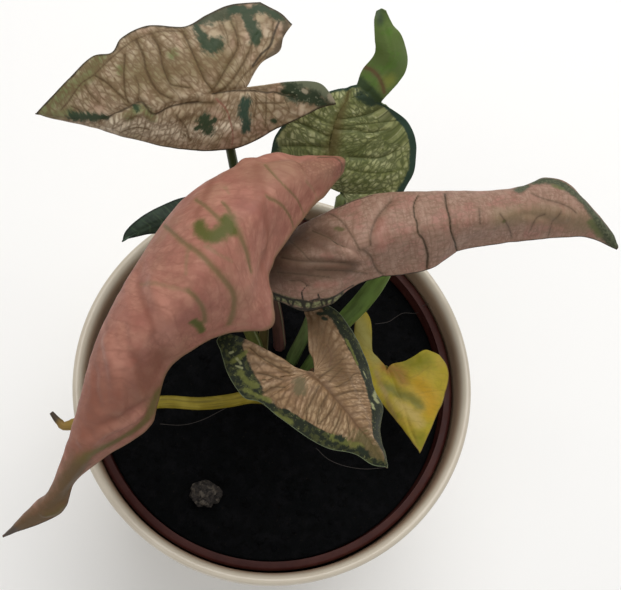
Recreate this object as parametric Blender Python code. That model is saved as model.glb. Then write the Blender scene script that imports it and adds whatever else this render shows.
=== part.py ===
"""A young syngonium in its plastic nursery pot, set in a cream glazed cachepot.

Lengths are in millimetres from the middle of the cachepot's foot: x to the right, y to the back
and z up. Leaf points count their height from the pot's lip, because that is how a plant is drawn.
"""

import math

import bmesh
import bpy
from mathutils import Matrix, Vector, noise
from mathutils.bvhtree import BVHTree

MM = 0.001

# Cachepot
POT_HEIGHT = 125.0
LIP_RADIUS = 70.0
POT_WALL = 4.2
FLOOR_THICKNESS = 6.0
FLOOR_CORNER = 1.5
FOOT_RADIUS = 54.0
FOOT_ROUNDING = 3.0
SIDE_CURVE = 1.8
SIDE_STEPS = 6

# Nursery pot, which stands a little off the cachepot's middle
NURSERY_CENTRE = (-0.9, 0.7)
NURSERY_RIM_DEPTH = 9.0
NURSERY_RIM_RADIUS = 63.6
NURSERY_RIM_INSIDE = 61.2
NURSERY_BAND = 9.0
NURSERY_CHAMFER = 0.8
NURSERY_TAPER = 0.4
NURSERY_TOP_RADIUS = 61.4
NURSERY_FOOT_RADIUS = 46.0
NURSERY_WALL = 1.3
NURSERY_STEP = 1.5
DRAIN_RADIUS = 4.0
DRAIN_RING = 30.0
DRAIN_COUNT = 6

# Soil, with its rings as shares of its radius, and the lump of perlite on it
SOIL_DEPTH = 15.0
SOIL_RELIEF = 1.5
SOIL_GRAIN = 9.0
SOIL_RINGS = (1.0, 0.84, 0.68, 0.52, 0.36, 0.2, 0.0)
LUMP_AT = (-12.5, -43.5)
LUMP_SIZE = (5.2, 4.4, 3.2)
LUMP_FLAT = 0.55
LUMP_ROUGHNESS = 0.25
LUMP_GRAIN = 2.3

# Touching pieces stay this far apart, and points of one piece this close are one point
GAP = 0.3
WELD = 0.02

# Leaves
BLADE_THICKNESS = 0.8
KEEL_DROP = 0.85
KEEL_RADII = (0.85, 0.6)
KEEL_STEPS = 8
HALF_COLUMNS = 4
ROLLED_COLUMNS = 7
HOLE_DEPTH = 22.0
HOLE_CLEARANCE = 0.5
BEND_HEIGHT = 3.5
TUBE_SIDES = 8

# Facets of the turned pieces and of holes, and a hole's turn, which keeps its corners off their edges
TURNS = 48
HOLE_SIDES = 12
HOLE_TURN = 8.0

# How far a hole's cutter runs past the face it cuts
CUT_PAST = 3.0

# Points along a curve when its length is measured
SAMPLES = 400

# Edges sharper than this many degrees stay sharp
SHARP_ANGLE = 35


# Leaf points: x, y, and the height above the lip

LEFT_PINK = {
    "rolled": [
        [(1.5, 53, 65), (-14, 42, 61), (-27, 33, 56), (-38, 14, 52), (-43, -6, 48),
         (-47, -28, 42), (-49, -48, 35), (-56, -63, 31), (-66, -75.2, 24)],
        [(1, 55, 67), (-10, 49.5, 72), (-20.5, 44, 76), (-37, 25, 78), (-45, 2, 75),
         (-50, -20, 68), (-51, -43, 55), (-54, -60, 40), (-58, -65, 34), (-65.7, -75.6, 24)],
        [(3, 53, 70), (-4, 43, 77), (-11, 34.5, 84), (-21, 12, 92), (-27, -7, 90),
         (-37.5, -24, 80), (-41, -42.5, 64), (-50, -60, 45), (-65.3, -76.2, 24.2)],
        [(3.5, 51, 67), (0.5, 41, 69), (-3, 33.5, 71), (-9, 13, 72), (-6, 4, 70),
         (-4.5, -3, 66), (-17, -8, 64), (-29, -20, 60), (-30, -31, 54), (-31.5, -37, 46),
         (-41, -47, 42), (-48, -57, 40), (-50, -66, 35), (-64.9, -76.9, 24)],
    ],
    "steps": 30,
    "spine": [(-15, 27, 87), (-21, 12, 92), (-27, -7, 90), (-37.5, -24, 80), (-41, -42.5, 64)],
    "petiole": [(-5, 2), (-9, 5, 15), (-16, 9, 38), (-21, 14, 62), (-19, 21, 80), (-15, 27, 87)],
    "stem_radii": (2.6, 1.5),
}

RIGHT_PINK = {
    "rolled": [
        [(-14.5, 22, 54.5), (-8, 27, 52), (5, 38, 53), (16, 44, 54), (36, 51, 53),
         (50, 57, 51), (60, 62, 50), (72, 68, 49), (84, 67, 47), (96.3, 63.6, 44.4)],
        [(-14.3, 21, 55), (-9, 29, 56), (-2.5, 35.5, 58), (6, 43, 59), (16, 50, 60),
         (35.5, 57, 60), (50, 62.5, 58), (60.5, 68.5, 56), (67, 74, 55), (74, 75, 54),
         (80.5, 72.5, 52), (93, 66, 47.5), (96.9, 62.8, 45)],
        [(-13.8, 19.5, 55.2), (-8, 20, 61), (0, 21, 64), (9, 26.5, 66), (17, 31.5, 68),
         (38.5, 44, 67), (52.5, 51, 64), (63, 57.5, 61), (83.5, 65, 54), (97.1, 61.9, 45.2)],
        [(-13.5, 18, 54.5), (-10.5, 13, 51), (-3, 11.5, 51), (4, 11, 51), (10.5, 14.5, 52),
         (15, 20, 52), (21, 25, 53), (37, 33, 53), (45, 41.5, 54), (58, 48.5, 53),
         (79.5, 59, 49), (87.5, 61.5, 47), (96.9, 61.1, 45)],
    ],
    "steps": 28,
    "spine": [(20, 32.5, 68), (38.5, 44, 67), (52.5, 51, 64), (63, 57.5, 61)],
    "petiole": [(10, 7), (13, 14, 0), (17, 22, 10), (22, 29, 22), (25, 34, 38), (24, 34, 54),
                (20, 32.5, 67.5)],
    "stem_radii": (3.0, 1.5),
}

UPPER_LEFT_TIP = (-89.5, 40, 70)
UPPER_LEFT_NOTCH = (-30.5, 63, 79)
UPPER_LEFT = {
    "midrib": [UPPER_LEFT_NOTCH, (-39, 57.5, 80), (-47, 52, 81), (-55, 47.5, 80), (-67, 42.5, 77),
               (-78, 40.5, 73), UPPER_LEFT_TIP],
    "halves": [
        {
            "sinus": [(-23, 85.5, 83), (-24.5, 81, 82), (-24.5, 76.5, 81), (-29, 71, 80),
                      UPPER_LEFT_NOTCH],
            "lobe": [(-23, 85.5, 83), (-27.5, 87.5, 84), (-34, 88.5, 85)],
            "margin": [(-34, 88.5, 85), (-41.5, 84.5, 86), (-47.5, 78, 87), (-52.5, 71.5, 88),
                       (-62.5, 68.5, 88), (-68.5, 63, 87), (-70, 58, 86), (-75.5, 56, 84),
                       (-81.5, 48.5, 79), UPPER_LEFT_TIP],
        },
        {
            "sinus": [(-4, 69, 73.2), (-6.5, 70.8, 75.2), (-11, 72.5, 76.5), (-19, 70, 77),
                      UPPER_LEFT_NOTCH],
            "lobe": [(-4, 69, 73.2), (-8.5, 67, 71.5), (-13.5, 63, 69.8), (-19.5, 58.5, 67.8)],
            "margin": [(-19.5, 58.5, 67.8), (-25, 53.2, 66), (-32, 48.5, 65), (-46, 44.5, 65),
                       (-61, 42.5, 67), (-76, 41.5, 69), UPPER_LEFT_TIP],
        },
    ],
    "steps": (7, 17),
    "puff": 0.05,
    "spine": [(-39, 57.5, 80), (-47, 52, 81), (-55, 47.5, 80), (-67, 42.5, 77)],
    "petiole": [(-2, 16), (-7, 23, 8), (-18, 36, 30), (-28, 46, 50), (-33, 52, 64),
                (-39, 57.5, 79.5)],
    "stem_radii": (2.3, 1.3),
}

CENTRE_WAIST = (4.5, 75.5, 74)
CENTRE_TIP = (1.5, 91.5, 94)
CENTRE_JUNCTION = (7.5, 51.5, 50)
CENTRE_GREEN = {
    "midrib": [CENTRE_JUNCTION, (2.5, 54.5, 56), (-2, 59, 61), (-3, 62.5, 65), (-3, 68.5, 70),
               (0.5, 73, 73), CENTRE_WAIST],
    "twist": [CENTRE_WAIST, (5.5, 77, 77.5), (7.8, 80.7, 81), (8.3, 82.4, 84.5), (7, 84.4, 87.5),
              (3.8, 88, 91.5), CENTRE_TIP],
    "halves": [
        {
            "sinus": [(-10, 46, 49), (-4, 48.5, 50), (2, 51, 50.5), CENTRE_JUNCTION],
            "lobe": [(-10, 46, 49), (-15.5, 47, 51), (-19.5, 51, 53), (-20, 55.5, 55)],
            "margin": [(-20, 55.5, 55), (-20, 61, 58), (-17, 66, 62), (-10, 73.5, 67),
                       (-3.5, 76, 71), (0.5, 77, 74)],
            "twist": [(0.5, 77, 74), (1, 80.5, 77.5), (3, 83, 82), (3, 83.5, 86), (2, 84.5, 89),
                      (0.5, 87.5, 93), CENTRE_TIP],
        },
        {
            "sinus": [(17, 50.5, 46), (13, 50, 48), (10, 50.5, 49.5), CENTRE_JUNCTION],
            "lobe": [(17, 50.5, 46), (21, 52.5, 46.5), (24, 58.5, 48)],
            "margin": [(24, 58.5, 48), (25.5, 65.5, 51), (24.5, 70.5, 55), (22.5, 73.5, 59),
                       (18.5, 76, 63), (13, 75.5, 68), (9, 74.5, 71.5)],
            "twist": [(9, 74.5, 71.5), (9.8, 75.5, 74), (12.5, 80.5, 76), (13.5, 83.5, 78),
                      (13, 86.5, 81), (9.5, 89, 87), (6, 90, 90), CENTRE_TIP],
        },
    ],
    "steps": (5, 13, 8),
    "puff": 0.05,
    "spine": [CENTRE_JUNCTION, (2.5, 54.5, 56), (-2, 59, 61), (-3, 68.5, 70)],
    "petiole": [(4, 12), (7, 21, 6), (9, 33, 24), (9.5, 43, 38), CENTRE_JUNCTION],
    "stem_radii": (2.4, 1.5),
}

DARK_TIP = (-56, 15, 52)
DARK_JUNCTION = (-13, 37, 49.5)
DARK_GREEN = {
    "midrib": [DARK_JUNCTION, (-24, 33.5, 53), (-36, 29, 55), (-48, 22.5, 54.5), DARK_TIP],
    "halves": [
        {
            "sinus": [(-4, 42, 44.5), (-8, 40, 46.5), DARK_JUNCTION],
            "lobe": [(-4, 42, 44.5), (-9, 43, 46.5), (-15, 42, 49)],
            "margin": [(-15, 42, 49), (-25, 40, 52), (-36, 36.5, 54.5), (-44, 32, 55),
                       (-51.5, 24.5, 55), (-55.5, 19, 53), DARK_TIP],
        },
        {
            "sinus": [(-5, 33, 44.5), (-9, 35, 47), DARK_JUNCTION],
            "lobe": [(-5, 33, 44.5), (-8, 31, 45), (-14, 29.5, 47)],
            "margin": [(-14, 29.5, 47), (-26, 26.5, 49.5), (-40, 23.5, 51), (-48.5, 20.2, 52),
                       (-53.5, 17.3, 52), DARK_TIP],
        },
    ],
    "steps": (4, 11),
    "puff": 0.05,
    "spine": [DARK_JUNCTION, (-24, 33.5, 53), (-36, 29, 55)],
    "petiole": [(-7, 10), (-9, 17, 10), (-12, 28, 30), (-12.5, 34, 42), DARK_JUNCTION],
    "stem_radii": (2.0, 1.2),
}

ARROW_TIP = (41, -28, 41)
ARROW_JUNCTION = (11.5, -6.5, 46)
LOWER_ARROW = {
    "midrib": [ARROW_JUNCTION, (16.5, -11, 48), (23.5, -15.5, 47), (33, -22, 45), ARROW_TIP],
    "halves": [
        {
            "sinus": [(-17.5, -3, 49), (-10.5, -3.5, 49), (0, -5.5, 48), (6, -7.3, 47),
                      ARROW_JUNCTION],
            "lobe": [(-17.5, -3, 49), (-19.5, -6, 49), (-17.5, -9, 49), (-14, -14.5, 49),
                     (-10.5, -18, 48)],
            "margin": [(-10.5, -18, 48), (-6.5, -20.5, 47), (-1.5, -20.5, 47), (6, -23.5, 46),
                       (19.5, -27.5, 44), (29.5, -27, 43), (35.5, -28.5, 42), ARROW_TIP],
        },
        {
            "sinus": [(6, 18, 40), (3.5, 13.5, 41), (5.5, 9, 42.5), (8, 0.5, 44), (10, -2.5, 45),
                      ARROW_JUNCTION],
            "lobe": [(6, 18, 40), (12.5, 17, 39), (17, 14.5, 38), (23, 9, 37)],
            "margin": [(23, 9, 37), (28, 2, 36), (32, -5, 36), (35, -9, 37), (36, -17.5, 38),
                       (39.5, -24.5, 39), ARROW_TIP],
        },
    ],
    "steps": (9, 11),
    "puff": 0.05,
    "spine": [ARROW_JUNCTION, (16.5, -11, 48), (23.5, -15.5, 47), (33, -22, 45)],
    "petiole": [(6, -3), (8, -5, 15), (10, -6, 32), ARROW_JUNCTION],
    "stem_radii": (2.2, 1.4),
}

YELLOW_TIP = (54.5, -13.5, 6)
YELLOW_JUNCTION = (36.5, 12.5, 7)
YELLOW = {
    "midrib": [YELLOW_JUNCTION, (43.5, 2, 9), (48.5, -5.5, 8), YELLOW_TIP],
    "halves": [
        {
            "sinus": [(23, 30, 9.5), (26, 28, 9), (28, 24, 8), (30, 17, 7), (32.5, 15, 7),
                      YELLOW_JUNCTION],
            "lobe": [(23, 30, 9.5), (21.5, 27, 9.5), (22.5, 20, 9), (25, 13, 8)],
            "margin": [(25, 13, 8), (31, 5, 7), (38.5, -0.5, 6), (48.5, -8, 6), YELLOW_TIP],
        },
        {
            "sinus": [(53, 21, 10), (48, 21.5, 10), (45, 19, 9), (41.5, 16, 8), (38, 14.5, 7),
                      YELLOW_JUNCTION],
            "lobe": [(53, 21, 10), (56.5, 17.5, 10), (58, 13.5, 9), (58, 7.5, 8)],
            "margin": [(58, 7.5, 8), (56.5, -2, 7), YELLOW_TIP],
        },
    ],
    "steps": (6, 7),
    "puff": 0.08,
    "spine": [YELLOW_JUNCTION, (43.5, 2, 9), (48.5, -5.5, 8)],
    "petiole": [(13, 1), (19, 3, -5), (27, 8, 1), YELLOW_JUNCTION],
    "stem_radii": (1.9, 1.1),
}

LEAVES = {
    "leaf_left_pink": LEFT_PINK,
    "leaf_right_pink": RIGHT_PINK,
    "leaf_upper_left": UPPER_LEFT,
    "leaf_centre_green": CENTRE_GREEN,
    "leaf_dark_green": DARK_GREEN,
    "leaf_lower_arrow": LOWER_ARROW,
    "leaf_yellow": YELLOW,
}

# The stalk of a lost leaf, which lies out over the lip
STALK_FOOT = (-1, -5)
STALK = [(-7, -9, -5), (-14, -12, -2), (-23, -15, 0.5), (-36, -20, 3), (-49, -27.5, 4.2),
         (-62, -36, 4.5), (-66, -36.5, 5), (-69, -35.5, 6)]
STALK_RADII = (2.4, 1.8)

# Base colour in sRGB, roughness and metallic value of each piece
FINISHES = {
    "cachepot": ((0.86, 0.84, 0.79), 0.3, 0.0),
    "nursery_pot": ((0.33, 0.18, 0.17), 0.5, 0.0),
    "potting_soil": ((0.06, 0.055, 0.055), 0.95, 0.0),
    "perlite_lump": ((0.45, 0.42, 0.40), 0.9, 0.0),
    "leaf_left_pink": ((0.72, 0.48, 0.42), 0.5, 0.0),
    "leaf_right_pink": ((0.62, 0.45, 0.41), 0.5, 0.0),
    "leaf_upper_left": ((0.62, 0.52, 0.44), 0.5, 0.0),
    "leaf_centre_green": ((0.38, 0.44, 0.30), 0.5, 0.0),
    "leaf_dark_green": ((0.12, 0.20, 0.18), 0.5, 0.0),
    "leaf_lower_arrow": ((0.66, 0.56, 0.46), 0.5, 0.0),
    "leaf_yellow": ((0.66, 0.60, 0.22), 0.5, 0.0),
    "stalk_yellow": ((0.60, 0.52, 0.14), 0.5, 0.0),
}


def place(point):
    """A leaf point, in metres from the middle of the cachepot's foot."""
    return Vector((point[0], point[1], point[2] + POT_HEIGHT)) * MM


def smooth_point(points, share):
    """The point that lies a share of the way along a smooth curve through the points."""
    last = len(points) - 1
    span = min(int(share * last), last - 1)
    part = share * last - span
    start, end = points[span], points[span + 1]
    before = points[span - 1] if span > 0 else start * 2 - end
    after = points[span + 2] if span + 2 <= last else end * 2 - start
    slope = (end - before) / 2
    square = before - start * 2.5 + end * 2 - after / 2
    cube = (start - end) * 1.5 + (after - before) / 2
    return start + slope * part + square * part**2 + cube * part**3


def even_points(points, steps):
    """Points at even distances along the smooth curve through the given ones."""
    fine = [smooth_point(points, i / SAMPLES) for i in range(SAMPLES + 1)]
    reach = [0.0]
    for a, b in zip(fine, fine[1:]):
        reach.append(reach[-1] + (b - a).length)
    found = []
    index = 0
    for step in range(steps + 1):
        target = reach[-1] * step / steps
        while index < SAMPLES - 1 and reach[index + 1] < target:
            index += 1
        part = (target - reach[index]) / max(reach[index + 1] - reach[index], 1e-12)
        found.append(fine[index].lerp(fine[index + 1], min(max(part, 0.0), 1.0)))
    return found


def rail(pieces, steps):
    """One edge or rib of a blade: smooth pieces end to end, with a corner where they meet."""
    found = []
    for piece, count in zip(pieces, steps):
        points = even_points([place(p) for p in piece], count)
        found += points[1:] if found else points
    return found


def puff_normals(inner, outer):
    """For each row of a strip, the way its middle bulges: square to the row, and upwards."""
    middles = [a.lerp(b, 0.5) for a, b in zip(inner, outer)]
    normals = []
    for i, (a, b) in enumerate(zip(inner, outer)):
        along = middles[min(i + 1, len(middles) - 1)] - middles[max(i - 1, 0)]
        normals.append((b - a).cross(along).normalized())
    if sum(n.z for n in normals) < 0:
        normals = [-n for n in normals]
    return normals


def add_strip(bm, rails, columns, puff=0.0):
    """A sheet through the rails: a flat grid whose points are moved to their places."""
    rows = len(rails[0]) - 1
    normals = puff_normals(rails[0], rails[-1])
    grid = bmesh.ops.create_grid(bm, x_segments=columns, y_segments=rows, size=0.5)
    for vert in grid["verts"]:
        row = round((vert.co.y + 0.5) * rows)
        share = round((vert.co.x + 0.5) * columns) / columns
        across = [r[row] for r in rails]
        bulge = puff * 4 * share * (1 - share) * (across[-1] - across[0]).length
        vert.co = smooth_point(across, share) + normals[row] * bulge


def new_object(name, bm):
    """An object with the bmesh as its mesh, its doubles merged and its faces pointing out."""
    bmesh.ops.remove_doubles(bm, verts=bm.verts, dist=WELD * MM)
    bmesh.ops.recalc_face_normals(bm, faces=bm.faces)
    mesh = bpy.data.meshes.new(name)
    bm.to_mesh(mesh)
    bm.free()
    piece = bpy.data.objects.new(name, mesh)
    bpy.context.scene.collection.objects.link(piece)
    return piece


def blade_object(name, bm):
    """A blade with its thickness. Its triangles are made first, so that both faces match."""
    bmesh.ops.remove_doubles(bm, verts=bm.verts, dist=WELD * MM)
    bmesh.ops.triangulate(bm, faces=bm.faces)
    piece = new_object(name, bm)
    wall = piece.modifiers.new("thickness", "SOLIDIFY")
    wall.thickness = BLADE_THICKNESS * MM
    wall.offset = 0.0
    return piece


def tube_object(name, path, radii):
    """A round stalk along the path, from the first radius to the last, with flat ends."""
    bm = bmesh.new()
    rows = len(path) - 1
    grid = bmesh.ops.create_grid(bm, x_segments=TUBE_SIDES, y_segments=rows, size=0.5)
    side = Vector((1, 0, 0))
    frames = []
    for i in range(len(path)):
        along = (path[min(i + 1, rows)] - path[max(i - 1, 0)]).normalized()
        side = (side - along * side.dot(along)).normalized()
        frames.append((side, along.cross(side)))
    for vert in grid["verts"]:
        row = round((vert.co.y + 0.5) * rows)
        turn = 2 * math.pi * round((vert.co.x + 0.5) * TUBE_SIDES) / TUBE_SIDES
        spread = frames[row][0] * math.cos(turn) + frames[row][1] * math.sin(turn)
        vert.co = path[row] + spread * radii[row] * MM
    bmesh.ops.remove_doubles(bm, verts=bm.verts, dist=WELD * MM)
    bmesh.ops.holes_fill(bm, edges=bm.edges)
    return new_object(name, bm)


def combine(piece, others, operation):
    """Joins the other objects to the piece, or cuts them from it, and removes them."""
    tools = bpy.data.collections.new("tools")
    bpy.context.scene.collection.children.link(tools)
    for other in others:
        bpy.context.scene.collection.objects.unlink(other)
        tools.objects.link(other)
    boolean = piece.modifiers.new("boolean", "BOOLEAN")
    boolean.operation = operation
    boolean.operand_type = "COLLECTION"
    boolean.collection = tools
    boolean.solver = "EXACT"
    depsgraph = bpy.context.evaluated_depsgraph_get()
    made = bpy.data.meshes.new_from_object(piece.evaluated_get(depsgraph))
    bm = bmesh.new()
    bm.from_mesh(made)
    bmesh.ops.triangulate(bm, faces=bm.faces)
    bmesh.ops.remove_doubles(bm, verts=bm.verts, dist=WELD * MM)
    bm.to_mesh(made)
    bm.free()
    piece.modifiers.clear()
    piece.data = made
    for other in others:
        bpy.data.objects.remove(other)
    bpy.data.collections.remove(tools)


def stem_path(foot, points):
    """A stem's line: straight up its hole in the soil, then a smooth curve."""
    bottom = (foot[0], foot[1], GAP - SOIL_DEPTH - HOLE_DEPTH)
    bend = (foot[0], foot[1], BEND_HEIGHT - SOIL_DEPTH)
    steps = 3 + 2 * len(points)
    return [place(bottom)] + even_points([place(bend)] + [place(p) for p in points], steps)


def taper(radii, count):
    """Radii that change evenly from the first of a pair to the second."""
    return [radii[0] + (radii[1] - radii[0]) * i / (count - 1) for i in range(count)]


def keel_path(spine, sheet):
    """The line of the keel: just below the sheet, square to it, under the spine."""
    path = []
    for point in even_points([place(p) for p in spine], KEEL_STEPS):
        spot, normal, _, _ = sheet.find_nearest(point)
        down = -normal if normal.z > 0 else normal
        path.append(spot + down * KEEL_DROP * MM)
    return path


def stem_object(leaf, sheet):
    """The petiole and, in one run with it, the keel under the first part of the midrib."""
    foot, *points = leaf["petiole"]
    petiole = stem_path(foot, points)[:-1]
    keel = keel_path(leaf["spine"], sheet)
    radii = taper(leaf["stem_radii"], len(petiole)) + taper(KEEL_RADII, len(keel))
    return tube_object("stem", petiole + keel, radii)


def leaf_object(name, leaf):
    """One leaf: its blade, its keel and its petiole, in one piece."""
    bm = bmesh.new()
    if "rolled" in leaf:
        rails = [rail([line], (leaf["steps"],)) for line in leaf["rolled"]]
        add_strip(bm, rails, ROLLED_COLUMNS)
    else:
        for half in leaf["halves"]:
            inner = [half["sinus"], leaf["midrib"]]
            outer = [half["lobe"], half["margin"]]
            if "twist" in leaf:
                inner.append(leaf["twist"])
                outer.append(half["twist"])
            rails = [rail(inner, leaf["steps"]), rail(outer, leaf["steps"])]
            add_strip(bm, rails, HALF_COLUMNS, leaf["puff"])
    stem = stem_object(leaf, BVHTree.FromBMesh(bm))
    piece = blade_object(name, bm)
    combine(piece, [stem], "UNION")
    return piece


def turned_object(name, profile, centre=(0, 0)):
    """A solid of revolution. The profile runs from the axis round to the axis, in millimetres."""
    bm = bmesh.new()
    verts = [bm.verts.new(Vector((centre[0] + r, centre[1], z)) * MM) for r, z in profile]
    edges = [bm.edges.new(pair) for pair in zip(verts, verts[1:])]
    bmesh.ops.spin(
        bm,
        geom=verts + edges,
        cent=Vector((centre[0], centre[1], 0)) * MM,
        axis=(0, 0, 1),
        angle=2 * math.pi,
        steps=TURNS,
        use_merge=True,
    )
    return new_object(name, bm)


def arc(centre, radius, start, end, steps):
    """Points on a round stretch of a profile, between two angles in degrees."""
    turns = [math.radians(start + (end - start) * i / steps) for i in range(steps + 1)]
    return [(centre[0] + radius * math.cos(a), centre[1] + radius * math.sin(a)) for a in turns]


def make_cachepot():
    """The glazed outer pot, with a rounded lip, a side that steepens upwards and a flat foot."""
    lip = POT_WALL / 2
    foot = arc((FOOT_RADIUS - FOOT_ROUNDING, FOOT_ROUNDING), FOOT_ROUNDING, -90, -10, 3)
    rim = arc((LIP_RADIUS - lip, POT_HEIGHT - lip), lip, 0, 180, 8)
    side = []
    for i in range(1, SIDE_STEPS):
        share = i / SIDE_STEPS
        radius = LIP_RADIUS - (LIP_RADIUS - FOOT_RADIUS) * (1 - share) ** SIDE_CURVE
        side.append((radius, FOOT_ROUNDING + share * (POT_HEIGHT - lip - FOOT_ROUNDING)))
    inside = [(r - POT_WALL, z) for r, z in reversed(side)]
    corner = FOOT_RADIUS - POT_WALL
    floor = [(corner, FLOOR_THICKNESS + FLOOR_CORNER), (corner - FLOOR_CORNER, FLOOR_THICKNESS),
             (0, FLOOR_THICKNESS)]
    return turned_object("cachepot", [(0, 0)] + foot + side + rim + inside + floor)


def make_nursery_pot():
    """The thin plastic pot, with its rim band and a ring of drain holes."""
    top = POT_HEIGHT - NURSERY_RIM_DEPTH
    band = top - NURSERY_BAND
    base = FLOOR_THICKNESS + GAP
    outside = [(0, base), (NURSERY_FOOT_RADIUS, base), (NURSERY_TOP_RADIUS, band),
               (NURSERY_RIM_RADIUS, band), (NURSERY_RIM_RADIUS, top - NURSERY_CHAMFER),
               (NURSERY_RIM_RADIUS - NURSERY_CHAMFER, top)]
    inside = [(NURSERY_RIM_INSIDE, top), (NURSERY_RIM_INSIDE - NURSERY_TAPER, band + NURSERY_WALL),
              (NURSERY_TOP_RADIUS - NURSERY_WALL, band - NURSERY_STEP),
              (NURSERY_FOOT_RADIUS - NURSERY_WALL, base + NURSERY_WALL), (0, base + NURSERY_WALL)]
    pot = turned_object("nursery_pot", outside + inside, NURSERY_CENTRE)
    drains = []
    for i in range(DRAIN_COUNT):
        turn = 2 * math.pi * i / DRAIN_COUNT
        at = (NURSERY_CENTRE[0] + DRAIN_RING * math.cos(turn),
              NURSERY_CENTRE[1] + DRAIN_RING * math.sin(turn))
        drains.append(
            hole_cutter(at, base - CUT_PAST, base + NURSERY_WALL + CUT_PAST, DRAIN_RADIUS)
        )
    combine(pot, drains, "DIFFERENCE")
    return pot


def hole_cutter(at, low, high, radius):
    """An upright cylinder, to cut a round hole."""
    bm = bmesh.new()
    bmesh.ops.create_cone(
        bm, cap_ends=True, segments=HOLE_SIDES, radius1=radius * MM, radius2=radius * MM,
        depth=(high - low) * MM, matrix=Matrix.Rotation(math.radians(HOLE_TURN), 4, "Z"),
    )
    bmesh.ops.translate(bm, verts=bm.verts, vec=Vector((*at, (low + high) / 2)) * MM)
    return new_object("hole", bm)


def make_soil(feet):
    """The plug of soil: crumbly on top, with a plain hole for every stem."""
    top = POT_HEIGHT - SOIL_DEPTH
    base = FLOOR_THICKNESS + NURSERY_WALL + 2 * GAP
    band = POT_HEIGHT - NURSERY_RIM_DEPTH - NURSERY_BAND
    wide = NURSERY_TOP_RADIUS - NURSERY_WALL - GAP
    narrow = NURSERY_FOOT_RADIUS - NURSERY_WALL - GAP
    rings = [(wide * share, top) for share in SOIL_RINGS]
    profile = [(0, base), (narrow, base), (wide, band - NURSERY_STEP)] + rings
    soil = turned_object("potting_soil", profile, NURSERY_CENTRE)
    for vert in soil.data.vertices:
        if vert.co.z > band * MM:
            dip = abs(noise.noise(vert.co / (SOIL_GRAIN * MM)))
            vert.co.z -= SOIL_RELIEF * MM * dip
    holes = [hole_cutter(at, top - HOLE_DEPTH, top + CUT_PAST, radius + HOLE_CLEARANCE)
             for at, radius in feet]
    combine(soil, holes, "DIFFERENCE")
    return soil


def make_lump():
    """A crumbly lump of perlite, sitting on the soil."""
    bm = bmesh.new()
    bmesh.ops.create_icosphere(bm, subdivisions=2, radius=1.0)
    floor = POT_HEIGHT - SOIL_DEPTH + GAP
    flat = LUMP_FLAT * LUMP_SIZE[2]
    for vert in bm.verts:
        swell = 1 + LUMP_ROUGHNESS * noise.noise(vert.co * LUMP_GRAIN)
        spot = Vector([c * s * swell for c, s in zip(vert.co, LUMP_SIZE)])
        height = floor + flat + max(spot.z, -flat)
        vert.co = Vector((LUMP_AT[0] + spot.x, LUMP_AT[1] + spot.y, height)) * MM
    return new_object("perlite_lump", bm)


def make_stalk():
    """The bare yellow stalk, from its hole in the soil out over the lip."""
    path = stem_path(STALK_FOOT, STALK)
    return tube_object("stalk_yellow", path, taper(STALK_RADII, len(path)))


def give_material(piece):
    """The piece's own material, with its finish from the table."""
    colour, roughness, metallic = FINISHES[piece.name]
    material = bpy.data.materials.new(piece.name)
    material.use_nodes = True
    shader = material.node_tree.nodes["Principled BSDF"]
    linear = [c / 12.92 if c <= 0.04045 else ((c + 0.055) / 1.055) ** 2.4 for c in colour]
    shader.inputs["Base Color"].default_value = (*linear, 1.0)
    shader.inputs["Roughness"].default_value = roughness
    shader.inputs["Metallic"].default_value = metallic
    piece.data.materials.clear()
    piece.data.materials.append(material)
    piece.data.shade_smooth()
    piece.data.set_sharp_from_angle(angle=math.radians(SHARP_ANGLE))


def main():
    for old in list(bpy.data.objects):
        bpy.data.objects.remove(old)
    feet = [(leaf["petiole"][0], leaf["stem_radii"][0]) for leaf in LEAVES.values()]
    feet.append((STALK_FOOT, STALK_RADII[0]))
    pieces = [make_cachepot(), make_nursery_pot(), make_soil(feet), make_lump(), make_stalk()]
    pieces += [leaf_object(name, leaf) for name, leaf in LEAVES.items()]
    for piece in pieces:
        give_material(piece)


main()
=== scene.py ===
# %% [markdown]
# A potted syngonium.
# The real object is a young arrow-leaved plant with seven leaves and the bare stalk of a lost
# one. It grows from a plug of peat in a thin maroon nursery pot, which stands in a cream glazed
# cachepot. This lesson dresses the plain solids of that model: it loads them as a fixed frame,
# builds a finer piece over each of them, and gives every piece the finish of the real thing.

import math
import random
from types import SimpleNamespace

import bmesh
import bpy
import numpy as np
from mathutils import Matrix, Vector, noise
from mathutils.bvhtree import BVHTree
from mathutils.kdtree import KDTree


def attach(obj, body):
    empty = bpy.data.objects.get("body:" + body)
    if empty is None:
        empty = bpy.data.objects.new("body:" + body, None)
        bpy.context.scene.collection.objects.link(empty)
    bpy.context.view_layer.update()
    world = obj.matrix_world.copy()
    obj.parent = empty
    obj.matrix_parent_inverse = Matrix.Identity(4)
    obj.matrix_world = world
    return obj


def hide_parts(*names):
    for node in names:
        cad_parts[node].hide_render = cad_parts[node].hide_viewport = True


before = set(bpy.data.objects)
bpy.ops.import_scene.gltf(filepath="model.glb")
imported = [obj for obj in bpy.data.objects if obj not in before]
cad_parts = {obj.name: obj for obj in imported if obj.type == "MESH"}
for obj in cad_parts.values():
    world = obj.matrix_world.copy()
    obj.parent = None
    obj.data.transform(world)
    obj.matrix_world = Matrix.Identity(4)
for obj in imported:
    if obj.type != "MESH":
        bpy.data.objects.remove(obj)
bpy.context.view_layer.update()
MM = 0.001
print("solids:", ", ".join(sorted(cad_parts)))

# %% [markdown]
# The camera comes first, because the marks on the leaves are drawn where it sees them. It looks
# down into the pot from the front, turned a little about its own axis. A camera can be aimed by
# a constraint, but three named directions make the same matrix, and they also turn a place in
# the picture into a line of sight.

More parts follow.
